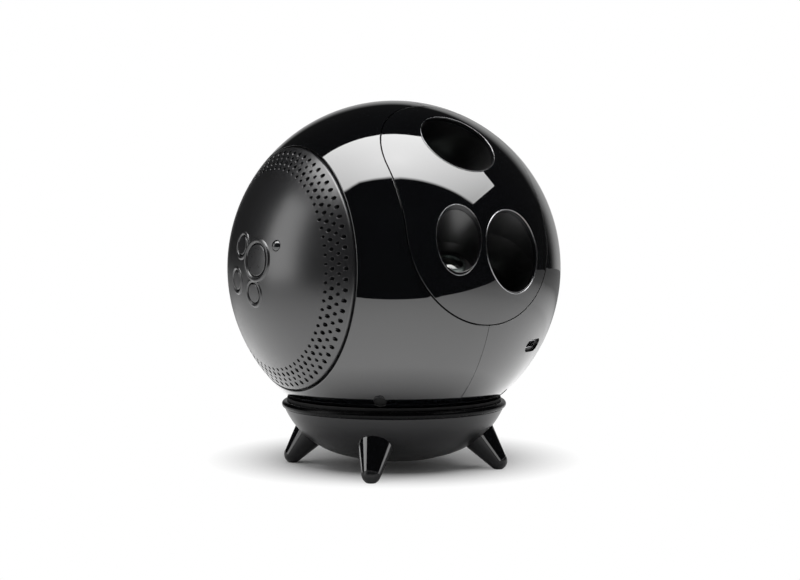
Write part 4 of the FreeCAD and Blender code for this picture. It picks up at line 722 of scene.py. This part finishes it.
left, right = BOX_SIDES
back, front = -BOX_DEPTHS[0], HEM_FADE[0]
outline = ((left, front - SWAG_DROP), (SWAG_SIDES[0], front - SWAG_DROP), (SWAG_SIDES[1], front),
           (right, front), (right, back), (left, back))
mirror_screen("soft_box_cloth", [(side, along, BOX_HEIGHT) for side, along in outline], material)
print("cloth levels", CLOTH_LEVELS)

# %% [markdown]
# ## Side card
# A tall white card stands on the table to the left of the ball. It is what draws the upright soft streak
# on the loudspeaker cap, the pale streaks down the walls of the wells and the light lines along the
# legs. Like the cloth, it is there for mirrors only.

# %% Side card
CARD_SIDE = -760.0 * MM
CARD_DEPTHS = (-20.0 * MM, 345.0 * MM)
CARD_HEIGHTS = (2.0 * MM, 640.0 * MM)
CARD_LEVEL = 2.1

material, tree, place = fresh("side_card")
finish(tree, add(tree, "ShaderNodeEmission", {"Color": WHITE, "Strength": CARD_LEVEL}))
near, far = [-depth for depth in CARD_DEPTHS]
foot, head = CARD_HEIGHTS
outline = ((near, foot), (far, foot), (far, head), (near, head))
mirror_screen("side_card", [(CARD_SIDE, along, height) for along, height in outline], material)
print("side card at", round(CARD_SIDE / MM), "mm")

# %% [markdown]
# ## World
# The background is plain white for the camera. In reflections a pale screen stands behind the ball, seen
# from the camera and a little to the right, no higher than the eye can follow over the ball. It gives
# the thin grey rim round a dark ball. The rest of the room is dark, and the surfaces get an even fill
# from it.

# %% World
SCREEN_TURN = math.radians(10.0)
SCREEN_EDGES = (math.cos(math.radians(37.0)), math.cos(math.radians(18.0)))
SCREEN_TOP = (0.46, 0.54)
SCREEN_SIDE = (-0.36, -0.24)
SCREEN_LEVEL = 0.38
ROOM_LEVEL = 0.012
FILL_LEVEL = 0.42

world = bpy.data.worlds.new("studio")
bpy.context.scene.world = world
world.use_nodes = True
tree = world.node_tree
tree.nodes.clear()
way = add(tree, "ShaderNodeTexCoord").outputs["Generated"]
behind = turned @ Vector((math.sin(SCREEN_TURN), math.cos(SCREEN_TURN), 0.0))
towards = add(tree, "ShaderNodeVectorMath", {0: way, 1: behind}, operation="DOT_PRODUCT")
inside = add(tree, "ShaderNodeMapRange", {
    "Value": towards.outputs["Value"], "From Min": SCREEN_EDGES[0], "From Max": SCREEN_EDGES[1]},
    interpolation_type="SMOOTHSTEP")
axes = add(tree, "ShaderNodeSeparateXYZ", {"Vector": way})
below = add(tree, "ShaderNodeMapRange", {
    "Value": axes.outputs["Z"], "From Min": SCREEN_TOP[0], "From Max": SCREEN_TOP[1],
    "To Min": 1.0, "To Max": 0.0}, interpolation_type="SMOOTHSTEP")
across = add(tree, "ShaderNodeVectorMath", {
    0: way, 1: turned @ Vector((1.0, 0.0, 0.0))}, operation="DOT_PRODUCT")
beside = add(tree, "ShaderNodeMapRange", {
    "Value": across.outputs["Value"], "From Min": SCREEN_SIDE[0], "From Max": SCREEN_SIDE[1]},
    interpolation_type="SMOOTHSTEP")
cut = add(tree, "ShaderNodeMath", {
    0: below.outputs["Result"], 1: beside.outputs["Result"]}, operation="MULTIPLY")
screen = add(tree, "ShaderNodeMath", {
    0: inside.outputs["Result"], 1: cut.outputs["Value"]}, operation="MULTIPLY")
room = add(tree, "ShaderNodeMapRange", {
    "Value": screen.outputs["Value"], "To Min": ROOM_LEVEL, "To Max": SCREEN_LEVEL})
rays = add(tree, "ShaderNodeLightPath")
fill = add(tree, "ShaderNodeMix", {
    "Factor": rays.outputs["Is Diffuse Ray"], "A": room.outputs["Result"], "B": FILL_LEVEL},
    data_type="FLOAT")
level = add(tree, "ShaderNodeMix", {
    "Factor": rays.outputs["Is Camera Ray"], "A": fill.outputs["Result"], "B": 1.0}, data_type="FLOAT")
light = add(tree, "ShaderNodeBackground", {"Color": WHITE, "Strength": level.outputs["Result"]})
add(tree, "ShaderNodeOutputWorld", {"Surface": light.outputs[0]})
bpy.context.scene.view_settings.view_transform = "Standard"
print("world made")
